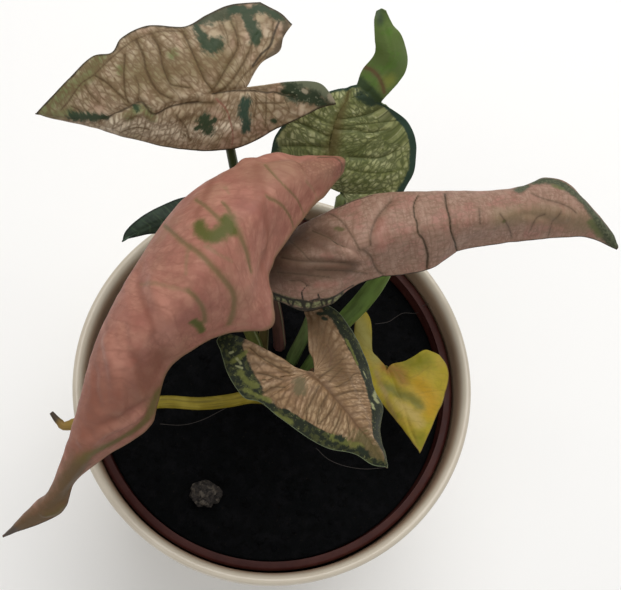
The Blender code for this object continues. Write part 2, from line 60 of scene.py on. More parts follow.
# %% Camera
POT_HEIGHT = 125.0
PICTURE = (621, 590)
FOCAL_PIXELS = 1000.0
SENSOR_WIDTH = 36.0
NEAREST_SEEN = 0.01
LOOK_DOWN = math.radians(70.684)
ROLL = math.radians(15.582)
LOOK_AT = Vector((4.097, 33.107, POT_HEIGHT)) * MM
LOOK_FROM = 361.515 * MM

to_camera = Vector((0, -math.cos(LOOK_DOWN), math.sin(LOOK_DOWN)))
level_up = Vector((0, math.sin(LOOK_DOWN), math.cos(LOOK_DOWN)))
level_right = Vector((1, 0, 0))
picture_right = level_right * math.cos(ROLL) + level_up * math.sin(ROLL)
picture_up = level_up * math.cos(ROLL) - level_right * math.sin(ROLL)
CAMERA_AT = LOOK_AT + to_camera * LOOK_FROM

lens = bpy.data.cameras.new("camera")
lens.sensor_width = SENSOR_WIDTH
lens.lens = FOCAL_PIXELS * SENSOR_WIDTH / PICTURE[0]
lens.clip_start = NEAREST_SEEN
camera = bpy.data.objects.new("camera", lens)
turn = Matrix((picture_right, picture_up, to_camera)).transposed().to_4x4()
camera.matrix_world = Matrix.Translation(CAMERA_AT) @ turn
bpy.context.scene.collection.objects.link(camera)
bpy.context.scene.camera = camera


def line_of_sight(pixel):
    """The direction from the camera to a place in the picture, given in its pixels."""
    across = (pixel[0] - PICTURE[0] / 2) / FOCAL_PIXELS
    up = (PICTURE[1] / 2 - pixel[1]) / FOCAL_PIXELS
    return (picture_right * across + picture_up * up - to_camera).normalized()


print("camera lens", round(lens.lens, 2), "mm")

# %% [markdown]
# Colours are written as the hex values that an eye would match on the real plant. Blender mixes
# light in linear values, so one function turns a hex value to linear. A second one adds a shader
# node with its settings and its links. A finish in the making is a skin here: one bundle of its
# material, its node tree and its shader, so that every helper can be handed all of them at once.


# %% Helpers for finishes
def linear(hex_colour):
    """An sRGB hex value such as B28070 as linear red, green, blue and alpha."""
    parts = [int(hex_colour[i:i + 2], 16) / 255 for i in (0, 2, 4)]
    return (*[c / 12.92 if c <= 0.04045 else ((c + 0.055) / 1.055) ** 2.4 for c in parts], 1.0)


def add(skin, kind, settings=None, inputs=None):
    """A node with its settings. An input is a number, a colour, or the socket that feeds it."""
    node = skin.tree.nodes.new(kind)
    for name, value in (settings or {}).items():
        setattr(node, name, value)
    for name, value in (inputs or {}).items():
        if isinstance(value, bpy.types.NodeSocket):
            skin.tree.links.new(value, node.inputs[name])
        else:
            node.inputs[name].default_value = value
    return node


# A Mix node of colours has its factor, its two colours and its result at these places
FACTOR, UNDER, OVER, MIXED = 0, 6, 7, 2


def plain_skin(name, **values):
    """A material with its node tree and its Principled shader, which gets the given values."""
    finish = bpy.data.materials.new(name)
    finish.use_nodes = True
    shader = finish.node_tree.nodes["Principled BSDF"]
    for socket, value in values.items():
        shader.inputs[socket.replace("_", " ")].default_value = value
    return SimpleNamespace(finish=finish, tree=finish.node_tree, shader=shader)


def new_skin(name, **values):
    """A material that also has patterns, which hang on their place in metres."""
    skin = plain_skin(name, **values)
    skin.where = add(skin, "ShaderNodeTexCoord").outputs["Object"]
    return skin


def feed(skin, socket, source):
    """Links what a pattern gives to a socket of the shader."""
    skin.tree.links.new(source, skin.shader.inputs[socket])


def both(skin, first, second):
    """A mask where two masks meet. The second may be a plain number."""
    return add(skin, "ShaderNodeMath", {"operation": "MULTIPLY"}, {0: first, 1: second}).outputs[0]


def lay_over(skin, ground, layers):
    """Paints colours over a ground. A layer is a colour, its strength, and its mask: a socket,
    or the function that makes it with its settings. The strength may be a mask itself."""
    paint = linear(ground)
    for colour, strength, mask, *settings in layers:
        if settings:
            mask = mask(skin, *settings)
        if strength != 1:
            mask = both(skin, mask, strength)
        mix = add(skin, "ShaderNodeMix", {"data_type": "RGBA"},
                  {FACTOR: mask, UNDER: paint, OVER: linear(colour)})
        paint = mix.outputs[MIXED]
    feed(skin, "Base Color", paint)


print("B28070 in linear light:", [round(c, 3) for c in linear("B28070")])

# %% Masks with soft edges
SMOOTH = {"interpolation_type": "SMOOTHSTEP"}
PATCH_ROUGHNESS = 0.6
FRAY_ROUGHNESS = 0.65


def clouds(skin, place, scale, low, high, detail):
    """A mask of soft patches, from 0 where the noise is under low to 1 where it is above high."""
    cloud = add(skin, "ShaderNodeTexNoise", None,
                {"Vector": place, "Scale": scale, "Detail": detail, "Roughness": PATCH_ROUGHNESS})
    band = add(skin, "ShaderNodeMapRange", SMOOTH,
               {"Value": cloud.outputs[0], "From Min": low, "From Max": high})
    return band.outputs[0]


def patches(skin, size, low, high, detail=3.0):
    """Soft patches of a real size in millimetres."""
    return clouds(skin, skin.where, 1 / (size * MM), low, high, detail)


def ragged(skin, value, low, high, size, amount):
    """A mask from a smooth value: its edge is frayed by noise of a real size in millimetres."""
    fray = add(skin, "ShaderNodeTexNoise", None,
               {"Vector": skin.where, "Scale": 1 / (size * MM), "Detail": 4.0,
                "Roughness": FRAY_ROUGHNESS})
    shift = add(skin, "ShaderNodeMath", {"operation": "MULTIPLY_ADD"},
                {0: fray.outputs[0], 1: 2 * amount, 2: -amount})
    frayed = add(skin, "ShaderNodeMath", {"operation": "ADD"}, {0: value, 1: shift.outputs[0]})
    band = add(skin, "ShaderNodeMapRange", SMOOTH,
               {"Value": frayed.outputs[0], "From Min": low, "From Max": high})
    return band.outputs[0]


print("masks ease with", SMOOTH["interpolation_type"])

# %% [markdown]
# Every leaf and stem hangs on a few given points. A smooth curve through them, walked
# at even steps, gives a rail. The curve is the same one that the solids were built on, so the
# finer pieces lie where the solids are.


# %% Curves
SAMPLES = 400
WELD = 0.02
LEAST_LENGTH = 1e-12


def place(point):
    """A leaf point, in metres from the middle of the pot's foot. Its height counts from the lip."""
    return Vector((point[0], point[1], point[2] + POT_HEIGHT)) * MM


def smooth_point(points, share):
    """The point that lies a share of the way along a smooth curve through the points."""
    last = len(points) - 1
    span = min(int(share * last), last - 1)
    part = share * last - span
    start, end = points[span], points[span + 1]
    before = points[span - 1] if span > 0 else start * 2 - end
    after = points[span + 2] if span + 2 <= last else end * 2 - start
    slope = (end - before) / 2
    square = before - start * 2.5 + end * 2 - after / 2
    cube = (start - end) * 1.5 + (after - before) / 2
    return start + slope * part + square * part**2 + cube * part**3


def even_points(points, steps):
    """Points at even distances along the smooth curve through the given ones."""
    fine = [smooth_point(points, i / SAMPLES) for i in range(SAMPLES + 1)]
    reach = [0.0]
    for a, b in zip(fine, fine[1:]):
        reach.append(reach[-1] + (b - a).length)
    found = []
    index = 0
    for step in range(steps + 1):
        target = reach[-1] * step / steps
        while index < SAMPLES - 1 and reach[index + 1] < target:
            index += 1
        part = (target - reach[index]) / max(reach[index + 1] - reach[index], LEAST_LENGTH)
        found.append(fine[index].lerp(fine[index + 1], min(max(part, 0.0), 1.0)))
    return found


def rail(pieces, steps):
    """One edge or rib of a blade: smooth pieces end to end, with a corner where they meet."""
    found = []
    for piece, count in zip(pieces, steps):
        points = even_points([place(p) for p in piece], count)
        found += points[1:] if found else points
    return found


print("curves are ready")

# %% [markdown]
# The left pink leaf hangs over the side of the pot like a curled tongue. Four rails run along
# it: the back hem, the shoulder, the crown of the curl and the front edge. The right pink leaf is
# made the same way.

# %% Leaf shapes: the two curled pink leaves
LEFT_PINK = {
    "rolled": [
        [(1.5, 53, 65), (-14, 42, 61), (-27, 33, 56), (-38, 14, 52), (-43, -6, 48),
         (-47, -28, 42), (-49, -48, 35), (-56, -63, 31), (-66.2, -76.2, 24)],
        [(1, 55, 67), (-10, 49.5, 72), (-20.5, 44, 76), (-37, 25, 78), (-45, 2, 75),
         (-50, -20, 68), (-51, -43, 55), (-54, -60, 40), (-58, -65, 34), (-66.1, -76.3, 24)],
        [(3, 53, 70), (-4, 43, 77), (-11, 34.5, 84), (-21, 12, 92), (-27, -7, 90),
         (-37.5, -24, 80), (-41, -42.5, 64), (-50, -60, 45), (-66, -76.5, 24.1)],
        [(3.5, 51, 67), (0.5, 41, 69), (-3, 33.5, 71), (-9, 13, 72), (-6, 4, 70),
         (-4.5, -3, 66), (-17, -8, 64), (-29, -20, 60), (-30, -31, 54), (-31.5, -37, 46),
         (-41, -47, 42), (-48, -57, 40), (-50, -66, 35), (-65.8, -76.7, 24)],
    ],
    "rows": 300,
    "columns": 112,
    "spine": [(-15, 27, 87), (-21, 12, 92), (-27, -7, 90), (-37.5, -24, 80), (-41, -42.5, 64)],
    "petiole": [(-5, 2), (-9, 5, 15), (-16, 9, 38), (-21, 14, 62), (-19, 21, 80), (-15, 27, 87)],
    "stem_radii": (2.6, 1.5),
}
RIGHT_PINK = {
    "rolled": [
        [(-14.5, 22, 54.5), (-8, 27, 52), (5, 38, 53), (16, 44, 54), (36, 51, 53),
         (50, 57, 51), (60, 62, 50), (72, 68, 49), (84, 67, 47), (96.3, 63.6, 44.4)],
        [(-14.3, 21, 55), (-9, 29, 56), (-2.5, 35.5, 58), (6, 43, 59), (16, 50, 60),
         (35.5, 57, 60), (50, 62.5, 58), (60.5, 68.5, 56), (67, 74, 55), (74, 75, 54),
         (80.5, 72.5, 52), (93, 66, 47.5), (96.9, 62.8, 45)],
        [(-13.8, 19.5, 55.2), (-8, 20, 61), (0, 21, 64), (9, 26.5, 66), (17, 31.5, 68),
         (38.5, 44, 67), (52.5, 51, 64), (63, 57.5, 61), (83.5, 65, 54), (97.1, 61.9, 45.2)],
        [(-13.5, 18, 54.5), (-10.5, 12, 51), (-3, 10.3, 51), (4, 9.8, 51), (10.5, 13.4, 52),
         (15, 20, 52), (21, 25, 53), (37, 33, 53), (45, 41.5, 54), (58, 48.5, 53),
         (79.5, 59, 49), (87.5, 61.5, 47), (96.9, 61.1, 45)],
    ],
    "rows": 252,
    "columns": 88,
    "spine": [(20, 32.5, 68), (38.5, 44, 67), (52.5, 51, 64), (63, 57.5, 61)],
    "petiole": [(10, 7), (13, 14, 0), (17, 22, 10), (22, 29, 22), (25, 34, 38), (24, 34, 54),
                (20, 32.5, 67.5)],
    "stem_radii": (3.0, 1.5),
    "sheath": 1.0,
    "vein angle": 80,
}
print("curled leaves:", LEFT_PINK["rows"], "and", RIGHT_PINK["rows"], "rows")

# %% [markdown]
# An arrow leaf has a midrib and two halves. Each half is a strip between an inner rail, which is
# the edge of the notch and then the midrib, and an outer rail, which is the lobe and then the
# margin. Both halves share the midrib, so they close up into one sheet.

# %% Leaf shapes: the two leaves at the back
UPPER_LEFT_TIP = (-89.5, 40, 70)
UPPER_LEFT_NOTCH = (-30.5, 63, 79)
UPPER_LEFT = {
    "midrib": [UPPER_LEFT_NOTCH, (-39, 57.5, 80), (-47, 52, 81), (-55, 47.5, 80), (-67, 42.5, 77),
               (-78, 40.5, 73), UPPER_LEFT_TIP],
    "halves": [
        {
            "sinus": [(-23, 85.5, 83), (-24.5, 81, 82), (-24.5, 76.5, 81), (-29, 71, 80),
                      UPPER_LEFT_NOTCH],
            "lobe": [(-23, 85.5, 83), (-27.5, 87.5, 84), (-34, 88.5, 85)],
            "margin": [(-34, 88.5, 85), (-41.5, 84.5, 86), (-47.5, 78, 87), (-52.5, 71.5, 88),
                       (-62.5, 68.5, 88), (-68.5, 63, 87), (-70, 58, 86), (-75.5, 56, 84),
                       (-81.5, 48.5, 79), UPPER_LEFT_TIP],
        },
        {
            "sinus": [(-4, 69, 73.2), (-6.5, 70.8, 75.2), (-11, 72.5, 76.5), (-19, 70, 77),
                      UPPER_LEFT_NOTCH],
            "lobe": [(-4, 69, 73.2), (-8.5, 67, 71.5), (-13.5, 63, 69.8), (-19.5, 58.5, 67.8)],
            "margin": [(-19.5, 58.5, 67.8), (-25, 53.2, 66), (-32, 48.5, 65), (-46, 44.5, 65),
                       (-61, 42.5, 67), (-76, 41.5, 69), UPPER_LEFT_TIP],
        },
    ],
    "steps": (63, 153),
    "columns": 48,
    "puff": 0.05,
    "spine": [(-39, 57.5, 80), (-47, 52, 81), (-55, 47.5, 80), (-67, 42.5, 77)],
    "petiole": [(-2, 16), (-7, 23, 8), (-18, 36, 30), (-28, 46, 50), (-33, 52, 64),
                (-39, 57.5, 79.5)],
    "stem_radii": (2.3, 1.3),
}
CENTRE_WAIST = (4.5, 75.5, 74)
CENTRE_TIP = (1.5, 91.5, 94)
CENTRE_JUNCTION = (5.2, 52, 49.5)
CENTRE_GREEN = {
    "midrib": [CENTRE_JUNCTION, (2.5, 54.5, 56), (-2, 59, 61), (-3, 62.5, 65), (-3, 68.5, 70),
               (0.5, 73, 73), CENTRE_WAIST],
    "twist": [CENTRE_WAIST, (5.5, 77, 77.5), (7.8, 80.7, 81), (8.3, 82.4, 84.5), (7, 84.4, 87.5),
              (3.8, 88, 91.5), CENTRE_TIP],
    "halves": [
        {
            "sinus": [(-10, 47.5, 49), (-4, 51, 50), (1, 53, 50.5), CENTRE_JUNCTION],
            "lobe": [(-10, 47.5, 49), (-15.5, 47, 51), (-19.5, 51, 53), (-20, 55.5, 55)],
            "margin": [(-20, 55.5, 55), (-20, 61, 58), (-17, 66, 62), (-10, 73.5, 67),
                       (-3.5, 76, 71), (0.5, 77, 74)],
            "twist": [(0.5, 77, 74), (1, 80.5, 77.5), (3, 83, 82), (3, 83.5, 86), (2, 84.5, 89),
                      (0.5, 87.5, 93), (0.3, 90.4, 93.6)],
        },
        {
            "sinus": [(17, 47, 45.5), (12.5, 46, 47), (8.5, 48, 48.5), CENTRE_JUNCTION],
            "lobe": [(17, 47, 45.5), (21, 51, 46.5), (24, 58.5, 48)],
            "margin": [(24, 58.5, 48), (25.5, 65.5, 51), (24.5, 70.5, 55), (22.5, 73.5, 59),
                       (18.5, 76, 63), (13, 75.5, 68), (9, 74.5, 71.5)],
            "twist": [(9, 74.5, 71.5), (9.8, 75.5, 74), (12.5, 80.5, 76), (13.5, 83.5, 78),
                      (13, 86.5, 81), (9.5, 89, 87), (6, 90, 90), (3.1, 91.2, 93.9)],
        },
    ],
    "steps": (45, 117, 72),
    "columns": 44,
    "puff": 0.05,
    "spine": [CENTRE_JUNCTION, (2.5, 54.5, 56), (-2, 59, 61), (-3, 68.5, 70)],
    "petiole": [(4, 12), (6.5, 21, 6), (7, 33, 24), (6.5, 43, 38), CENTRE_JUNCTION],
    "stem_radii": (2.4, 1.9),
    "vein angle": 78,
}
print("leaves at the back:", sum(UPPER_LEFT["steps"]), "and", sum(CENTRE_GREEN["steps"]), "rows")

# %% Leaf shapes: the three leaves lower down
DARK_TIP = (-56, 15, 52)
DARK_JUNCTION = (-13, 37, 49.5)
DARK_GREEN = {
    "midrib": [DARK_JUNCTION, (-24, 33.5, 53), (-36, 29, 55), (-48, 22.5, 54.5), DARK_TIP],
    "halves": [
        {
            "sinus": [(-4, 42, 44.5), (-8, 40, 46.5), DARK_JUNCTION],
            "lobe": [(-4, 42, 44.5), (-9, 43, 46.5), (-15, 42, 49)],
            "margin": [(-15, 42, 49), (-25, 40, 52), (-36, 36.5, 54.5), (-44, 32, 55),
                       (-51.5, 24.5, 55), (-55.5, 19, 53), DARK_TIP],
        },
        {
            "sinus": [(-5, 33, 44.5), (-9, 35, 47), DARK_JUNCTION],
            "lobe": [(-5, 33, 44.5), (-8, 31, 45), (-14, 29.5, 47)],
            "margin": [(-14, 29.5, 47), (-26, 26.5, 49.5), (-40, 23.5, 51), (-48.5, 20.2, 52),
                       (-53.5, 17.3, 52), DARK_TIP],
        },
    ],
    "steps": (24, 66),
    "columns": 24,
    "puff": 0.05,
    "spine": [DARK_JUNCTION, (-24, 33.5, 53), (-36, 29, 55)],
    "petiole": [(-7, 10), (-9, 17, 10), (-12, 28, 30), (-12.5, 34, 42), DARK_JUNCTION],
    "stem_radii": (2.0, 1.2),
}
ARROW_TIP = (41, -28, 41)
ARROW_JUNCTION = (11.5, -6.5, 46)
LOWER_ARROW = {
    "midrib": [ARROW_JUNCTION, (16.5, -11, 48), (23.5, -15.5, 47), (33, -22, 45), ARROW_TIP],
    "halves": [
        {
            "sinus": [(-17.5, -3, 49), (-10.5, -3.5, 49), (0, -5.5, 48), (6, -7.3, 47),
                      ARROW_JUNCTION],
            "lobe": [(-17.5, -3, 49), (-19.5, -6, 49), (-17.5, -9, 49), (-14, -14.5, 49),
                     (-10.5, -18, 48)],
            "margin": [(-10.5, -18, 48), (-6.5, -20.5, 47), (-1.5, -20.5, 47), (6, -23.5, 46),
                       (19.5, -27.5, 44), (29.5, -27, 43), (35.5, -28.5, 42), ARROW_TIP],
        },
        {
            "sinus": [(6, 18, 40), (3.5, 13.5, 41), (5.5, 9, 42.5), (8, 0.5, 44), (10, -2.5, 45),
                      ARROW_JUNCTION],
            "lobe": [(6, 18, 40), (12.5, 17, 39), (17, 14.5, 38), (23, 9, 37)],
            "margin": [(23, 9, 37), (28, 2, 36), (32, -5, 36), (35, -9, 37), (36, -17.5, 38),
                       (39.5, -24.5, 39), ARROW_TIP],
        },
    ],
    "steps": (72, 88),
    "columns": 40,
    "puff": 0.05,
    "spine": [ARROW_JUNCTION, (16.5, -11, 48), (23.5, -15.5, 47), (33, -22, 45)],
    "petiole": [(6, -3), (8, -5, 15), (10, -6, 32), ARROW_JUNCTION],
    "stem_radii": (2.2, 1.4),
}
YELLOW_TIP = (54.5, -13.5, 6)
YELLOW_JUNCTION = (36.5, 12.5, 7)
YELLOW = {
    "midrib": [YELLOW_JUNCTION, (43.5, 2, 9), (48.5, -5.5, 8), YELLOW_TIP],
    "halves": [
        {
            "sinus": [(23, 30, 9.5), (26, 28, 9), (28, 24, 8), (30, 17, 7), (32.5, 15, 7),
                      YELLOW_JUNCTION],
            "lobe": [(23, 30, 9.5), (21.5, 27, 9.5), (22.5, 20, 9), (25, 13, 8)],
            "margin": [(25, 13, 8), (31, 5, 7), (38.5, -0.5, 6), (48.5, -8, 6), YELLOW_TIP],
        },
        {
            "sinus": [(53, 21, 10), (48, 21.5, 10), (45, 19, 9), (41.5, 16, 8), (38, 14.5, 7),
                      YELLOW_JUNCTION],
            "lobe": [(53, 21, 10), (56.5, 17.5, 10), (58, 13.5, 9), (58, 7.5, 8)],
            "margin": [(58, 7.5, 8), (56.5, -2, 7), YELLOW_TIP],
        },
    ],
    "steps": (54, 63),
    "columns": 34,
    "puff": 0.08,
    "spine": [YELLOW_JUNCTION, (43.5, 2, 9), (48.5, -5.5, 8)],
    "petiole": [(13, 1), (19, 3, -5), (27, 8, 1), YELLOW_JUNCTION],
    "stem_radii": (1.9, 1.1),
}
print("lower leaves:", sum(LOWER_ARROW["steps"]), "and", sum(YELLOW["steps"]), "rows")

# %% [markdown]
# A blade starts as a flat grid, and each point of the grid is moved to its place between the
# rails. A grid made by hand from lists of faces would do the same, but create_grid gives clean
# rows and columns at once. The rows are about half a millimetre apart, which is fine enough for
# the veins to be pressed into the surface later.


# %% Blades
def puff_normals(inner, outer):
    """For each row of a strip, the way its middle bulges: square to the row, and upwards."""
    middles = [a.lerp(b, 0.5) for a, b in zip(inner, outer)]
    normals = []
    for i, (a, b) in enumerate(zip(inner, outer)):
        along = middles[min(i + 1, len(middles) - 1)] - middles[max(i - 1, 0)]
        normals.append((b - a).cross(along).normalized())
    if sum(n.z for n in normals) < 0:
        normals = [-n for n in normals]
    return normals


def add_strip(bm, rails, columns, puff=0.0, half=0):
    """A sheet through the rails: a flat grid whose points are moved to their places."""
    rows = len(rails[0]) - 1
    normals = puff_normals(rails[0], rails[-1])
    halves = bm.faces.layers.int.get("half") or bm.faces.layers.int.new("half")
    lengths = bm.verts.layers.float.get("row") or bm.verts.layers.float.new("row")
    grid = bmesh.ops.create_grid(bm, x_segments=columns, y_segments=rows, size=0.5)
    for face in {face for vert in grid["verts"] for face in vert.link_faces}:
        face[halves] = half
    for vert in grid["verts"]:
        row = round((vert.co.y + 0.5) * rows)
        vert[lengths] = row
        share = round((vert.co.x + 0.5) * columns) / columns
        across = [r[row] for r in rails]
        bulge = puff * 4 * share * (1 - share) * (across[-1] - across[0]).length
        vert.co = smooth_point(across, share) + normals[row] * bulge


def face_the_camera(bm):
    """Turns the whole sheet so that its faces point to where most of it is seen from."""
    bmesh.ops.recalc_face_normals(bm, faces=bm.faces)
    seen = sum(f.normal.dot(CAMERA_AT - f.calc_center_median()) * f.calc_area() for f in bm.faces)
    if seen < 0:
        bmesh.ops.reverse_faces(bm, faces=bm.faces)
    bm.normal_update()


def blade_sheet(leaf):
    """The leaf's blade as one thin sheet, with its upper face towards the camera."""
    bm = bmesh.new()
    if "rolled" in leaf:
        rails = [rail([line], (leaf["rows"],)) for line in leaf["rolled"]]
        add_strip(bm, rails, leaf["columns"])
    else:
        for number, half in enumerate(leaf["halves"]):
            inner = [half["sinus"], leaf["midrib"]]
            outer = [half["lobe"], half["margin"]]
            if "twist" in leaf:
                inner.append(leaf["twist"])
                outer.append(half["twist"])
            rails = [rail(inner, leaf["steps"]), rail(outer, leaf["steps"])]
            add_strip(bm, rails, leaf["columns"], leaf["puff"], number)
    bmesh.ops.remove_doubles(bm, verts=bm.verts, dist=WELD * MM)
    face_the_camera(bm)
    return bm


print("blades can be laid between their rails")

# %% [markdown]
# Veins, blotches and folds are drawn on a leaf like strokes of a pen: a few places in the
# picture, and a width in millimetres at each end. Each place is thrown from the camera onto the
# blade, so the stroke then belongs to the leaf and stays with it in every other view. For each
# point of the blade, the mask says how deep it lies in the nearest stroke. An image texture would
# be simpler, but it would be a copy of the photograph. A stroke is a drawing.

# %% Strokes on a leaf
# The step is in pixels. A jump of more millimetres than the break parts a stroke
STROKE_STEP = 3.0
STROKE_BREAK = 4.0
OFF_ALL_STROKES = -9.0
LEAST_SQUARE = 1e-18


def stroke_points(pixels):
    """Places every few pixels along a smooth curve through the given ones."""
    line = [Vector((x, y, 0)) for x, y in pixels]
    reach = sum((b - a).length for a, b in zip(line, line[1:]))
    return [(p.x, p.y) for p in even_points(line, max(1, math.ceil(reach / STROKE_STEP)))]


def gap_to_segment(spots, start, end):
    """Each spot's distance to a straight segment, and the share of the way along it."""
    along = np.array(end) - np.array(start)
    square = max(along @ along, LEAST_SQUARE)
    share = np.clip((spots - np.array(start)) @ along / square, 0, 1)
    return np.linalg.norm(spots - np.array(start) - share[:, None] * along, axis=1), share


def stroke_mask(sheet, spots, strokes):
    """1 on a stroke's line, falling evenly to 0 at its width and going on below it."""
    mask = np.full(len(spots), OFF_ALL_STROKES)
    for pixels, first_width, last_width in strokes:
        found = [sheet.ray_cast(CAMERA_AT, line_of_sight(p))[0] for p in stroke_points(pixels)]
        for i, (a, b) in enumerate(zip(found, found[1:])):
            if a is None or b is None or (b - a).length > STROKE_BREAK * MM:
                continue
            gap, _ = gap_to_segment(spots, a, b)
            width = first_width + (last_width - first_width) * (i + 0.5) / (len(found) - 1)
            mask = np.maximum(mask, 1 - gap / (width * MM))
    return mask


def ease(mask):
    """A mask with soft shoulders, and with nothing below 0."""
    part = np.clip(mask, 0, 1)
    return part * part * (3 - 2 * part)


print("strokes are thrown on a leaf every", STROKE_STEP, "pixels")

# %% [markdown]
# Side veins leave the midrib at about the same angle all the way to the tip, and fan out into
# the lobes from the place where the stalk joins. Two measures describe that: where along the
# midrib the vein through a point starts, and how far out the point lies. Kept as the leaf's UV
# map, they let a pattern of cells run along the veins instead of lying like printed paper.

# %% Vein coordinates
SIDE_VEIN_ANGLE = 62
FAN_RADIUS = 9.0
HALF_APART = 300.0
VERY_FAR = 1e9


def along_and_off(spots, line):
    """In millimetres: how far along the line each spot lies, and how far off it."""
    reach, nearest, along = 0.0, np.full(len(spots), VERY_FAR), np.zeros(len(spots))
    for a, b in zip(line, line[1:]):
        gap, share = gap_to_segment(spots, a, b)
        closer = gap < nearest
        nearest = np.where(closer, gap, nearest)
        along = np.where(closer, reach + share * (b - a).length, along)
        reach += (b - a).length
    return along / MM, nearest / MM


def feather(spots, rib, along, off, vein_angle):
    """In millimetres: where on the midrib each spot's side vein starts, and how far out it is."""
    away = (spots - np.array(rib[0])) / MM
    back = away @ np.array((rib[1] - rib[0]).normalized())
    behind = (along <= 0) & (back < 0)
    x = np.where(behind, back, along)
    y = np.where(behind, np.sqrt(np.maximum((away**2).sum(1) - back**2, 0)), off)
    start = np.maximum(x - y / math.tan(vein_angle), 0)
    angle = np.arctan2(y, x - start)
    return start - FAN_RADIUS * (angle - vein_angle), np.hypot(x - start, y)


print("side veins leave the midrib at", SIDE_VEIN_ANGLE, "degrees")

# %% [markdown]
# The petiole is a round stalk that rises from its hole in the soil and runs on under the blade
# as its keel, the raised back of the midrib. It is the same tube as in the solids, with more
# sides and a keel that fades away.

# %% Round stems
SOIL_DEPTH = 15.0
GAP = 0.3
HOLE_DEPTH = 22.0
BEND_HEIGHT = 3.5
TUBE_SIDES = 18


def to_mesh(name, bm):
    """A mesh from the bmesh, which is then let go."""
    mesh = bpy.data.meshes.new(name)
    bm.to_mesh(mesh)
    bm.free()
    return mesh


def add_tube(bm, path, radii, sides=TUBE_SIDES):
    """A round stalk along the path with a radius in millimetres at each point, and closed ends."""
    rows = len(path) - 1
    shares = bm.loops.layers.uv.get("feather") or bm.loops.layers.uv.new("feather")
    reach = [0.0]
    for a, b in zip(path, path[1:]):
        reach.append(reach[-1] + (b - a).length / MM)
    side = Vector((1, 0, 0))
    frames = []
    for i in range(len(path)):
        along = (path[min(i + 1, rows)] - path[max(i - 1, 0)]).normalized()
        side = (side - along * side.dot(along)).normalized()
        frames.append((side, along.cross(side)))
    grid = bmesh.ops.create_grid(bm, x_segments=sides, y_segments=rows, size=0.5)
    for face in {face for vert in grid["verts"] for face in vert.link_faces}:
        for loop in face.loops:
            row = round((loop.vert.co.y + 0.5) * rows)
            loop[shares].uv = (loop.vert.co.x + 0.5, reach[row])
    for vert in grid["verts"]:
        row = round((vert.co.y + 0.5) * rows)
        angle = 2 * math.pi * round((vert.co.x + 0.5) * sides) / sides
        spread = frames[row][0] * math.cos(angle) + frames[row][1] * math.sin(angle)
        vert.co = path[row] + spread * radii[row] * MM
    bmesh.ops.remove_doubles(bm, verts=grid["verts"], dist=WELD * MM)
    bmesh.ops.holes_fill(bm, edges=[e for e in bm.edges if e.is_boundary])
    bmesh.ops.recalc_face_normals(bm, faces=bm.faces)


def taper(radii, count):
    """Radii that change evenly from the first of a pair to the second."""
    return [radii[0] + (radii[1] - radii[0]) * i / (count - 1) for i in range(count)]


def stem_path(foot, points, steps):
    """A stem's line: straight up its hole in the soil, then a smooth curve."""
    bottom = (foot[0], foot[1], GAP - SOIL_DEPTH - HOLE_DEPTH)
    bend = (foot[0], foot[1], BEND_HEIGHT - SOIL_DEPTH)
    return [place(bottom)] + even_points([place(bend)] + [place(p) for p in points], steps)


print("stems have", TUBE_SIDES, "sides")

# %% Petioles
UNDER_SLOT, PETIOLE_SLOT = 1, 2
PETIOLE_STEPS = 44
KEEL_STEPS = 40
KEEL_COVER = 0.35
KEEL_RADII = (0.85, 0.2)
SHEATH_START = 0.12
SHEATH_LENGTH = 0.8


def petiole_radii(leaf, count):
    """An even taper. A petiole with a sheath is wider in its middle by the sheath's thickness."""
    radii = taper(leaf["stem_radii"], count)
    for i in range(count):
        share = min(max((i / count - SHEATH_START) / SHEATH_LENGTH, 0), 1)
        radii[i] += leaf.get("sheath", 0) * math.sin(math.pi * share) ** 2
    return radii


def petiole_mesh(leaf, sheet):
    """The petiole, and the keel that it becomes under the first part of the midrib."""
    foot, *points = leaf["petiole"]
    petiole = stem_path(foot, points, PETIOLE_STEPS)[:-1]
    spine = even_points([place(p) for p in leaf["spine"]], KEEL_STEPS)
    keel_radii = taper(KEEL_RADII, len(spine))
    keel = []
    for point, radius in zip(spine, keel_radii):
        spot, normal, _, _ = sheet.find_nearest(point)
        keel.append(spot - normal * (radius + KEEL_COVER) * MM)
    bm = bmesh.new()
    add_tube(bm, petiole + keel, petiole_radii(leaf, len(petiole)) + keel_radii)
    for face in bm.faces:
        face.material_index = PETIOLE_SLOT
    return to_mesh("petiole", bm)


print("petioles run on as keels of", KEEL_STEPS, "steps")

# %% [markdown]
# Now a whole leaf can be grown. The blade gets its masks while it is still smooth. Then the veins
# are pressed into it, the folds are raised, the flesh between the veins swells a little and the
# margin waves. All of that is real relief, because bump alone vanishes at the edge of a leaf. A
# Solidify modifier gives the blade its thickness, and its material offset gives the underside a
# finish of its own.

# %% Relief on a blade
VEIN_GROOVE = 0.22
FAINT_GROOVE = 0.1
MIDRIB_GROOVE = 0.3
MIDRIB_HALF = 1.1
SWELL = 0.16
SWELL_SIZE = 3.2
WAVE = 0.35
WAVE_SIZE = 7.0
WAVE_REACH = 4.0


def rumple(spots, size, height):
    """Gentle swellings of a real size and height in millimetres."""
    return np.array([noise.noise(Vector(s) / (size * MM)) for s in spots]) * height


def relief(leaf, layers, spots, folds):
    """How far each point of the blade rises from the smooth sheet, in millimetres."""
    lift = rumple(spots, SWELL_SIZE, leaf.get("swell", SWELL))
    lift += rumple(spots, WAVE_SIZE, WAVE) * np.exp(-layers["edge"] / WAVE_REACH)
    lift -= VEIN_GROOVE * ease(layers["vein"]) + FAINT_GROOVE * ease(layers["faint"])
    if "midrib" in leaf:
        lift -= MIDRIB_GROOVE * ease(1 - layers["rib"] / MIDRIB_HALF)
    for height, mask in folds:
        lift += height * ease(mask)
    return lift


print("veins are pressed in by", VEIN_GROOVE, "mm")

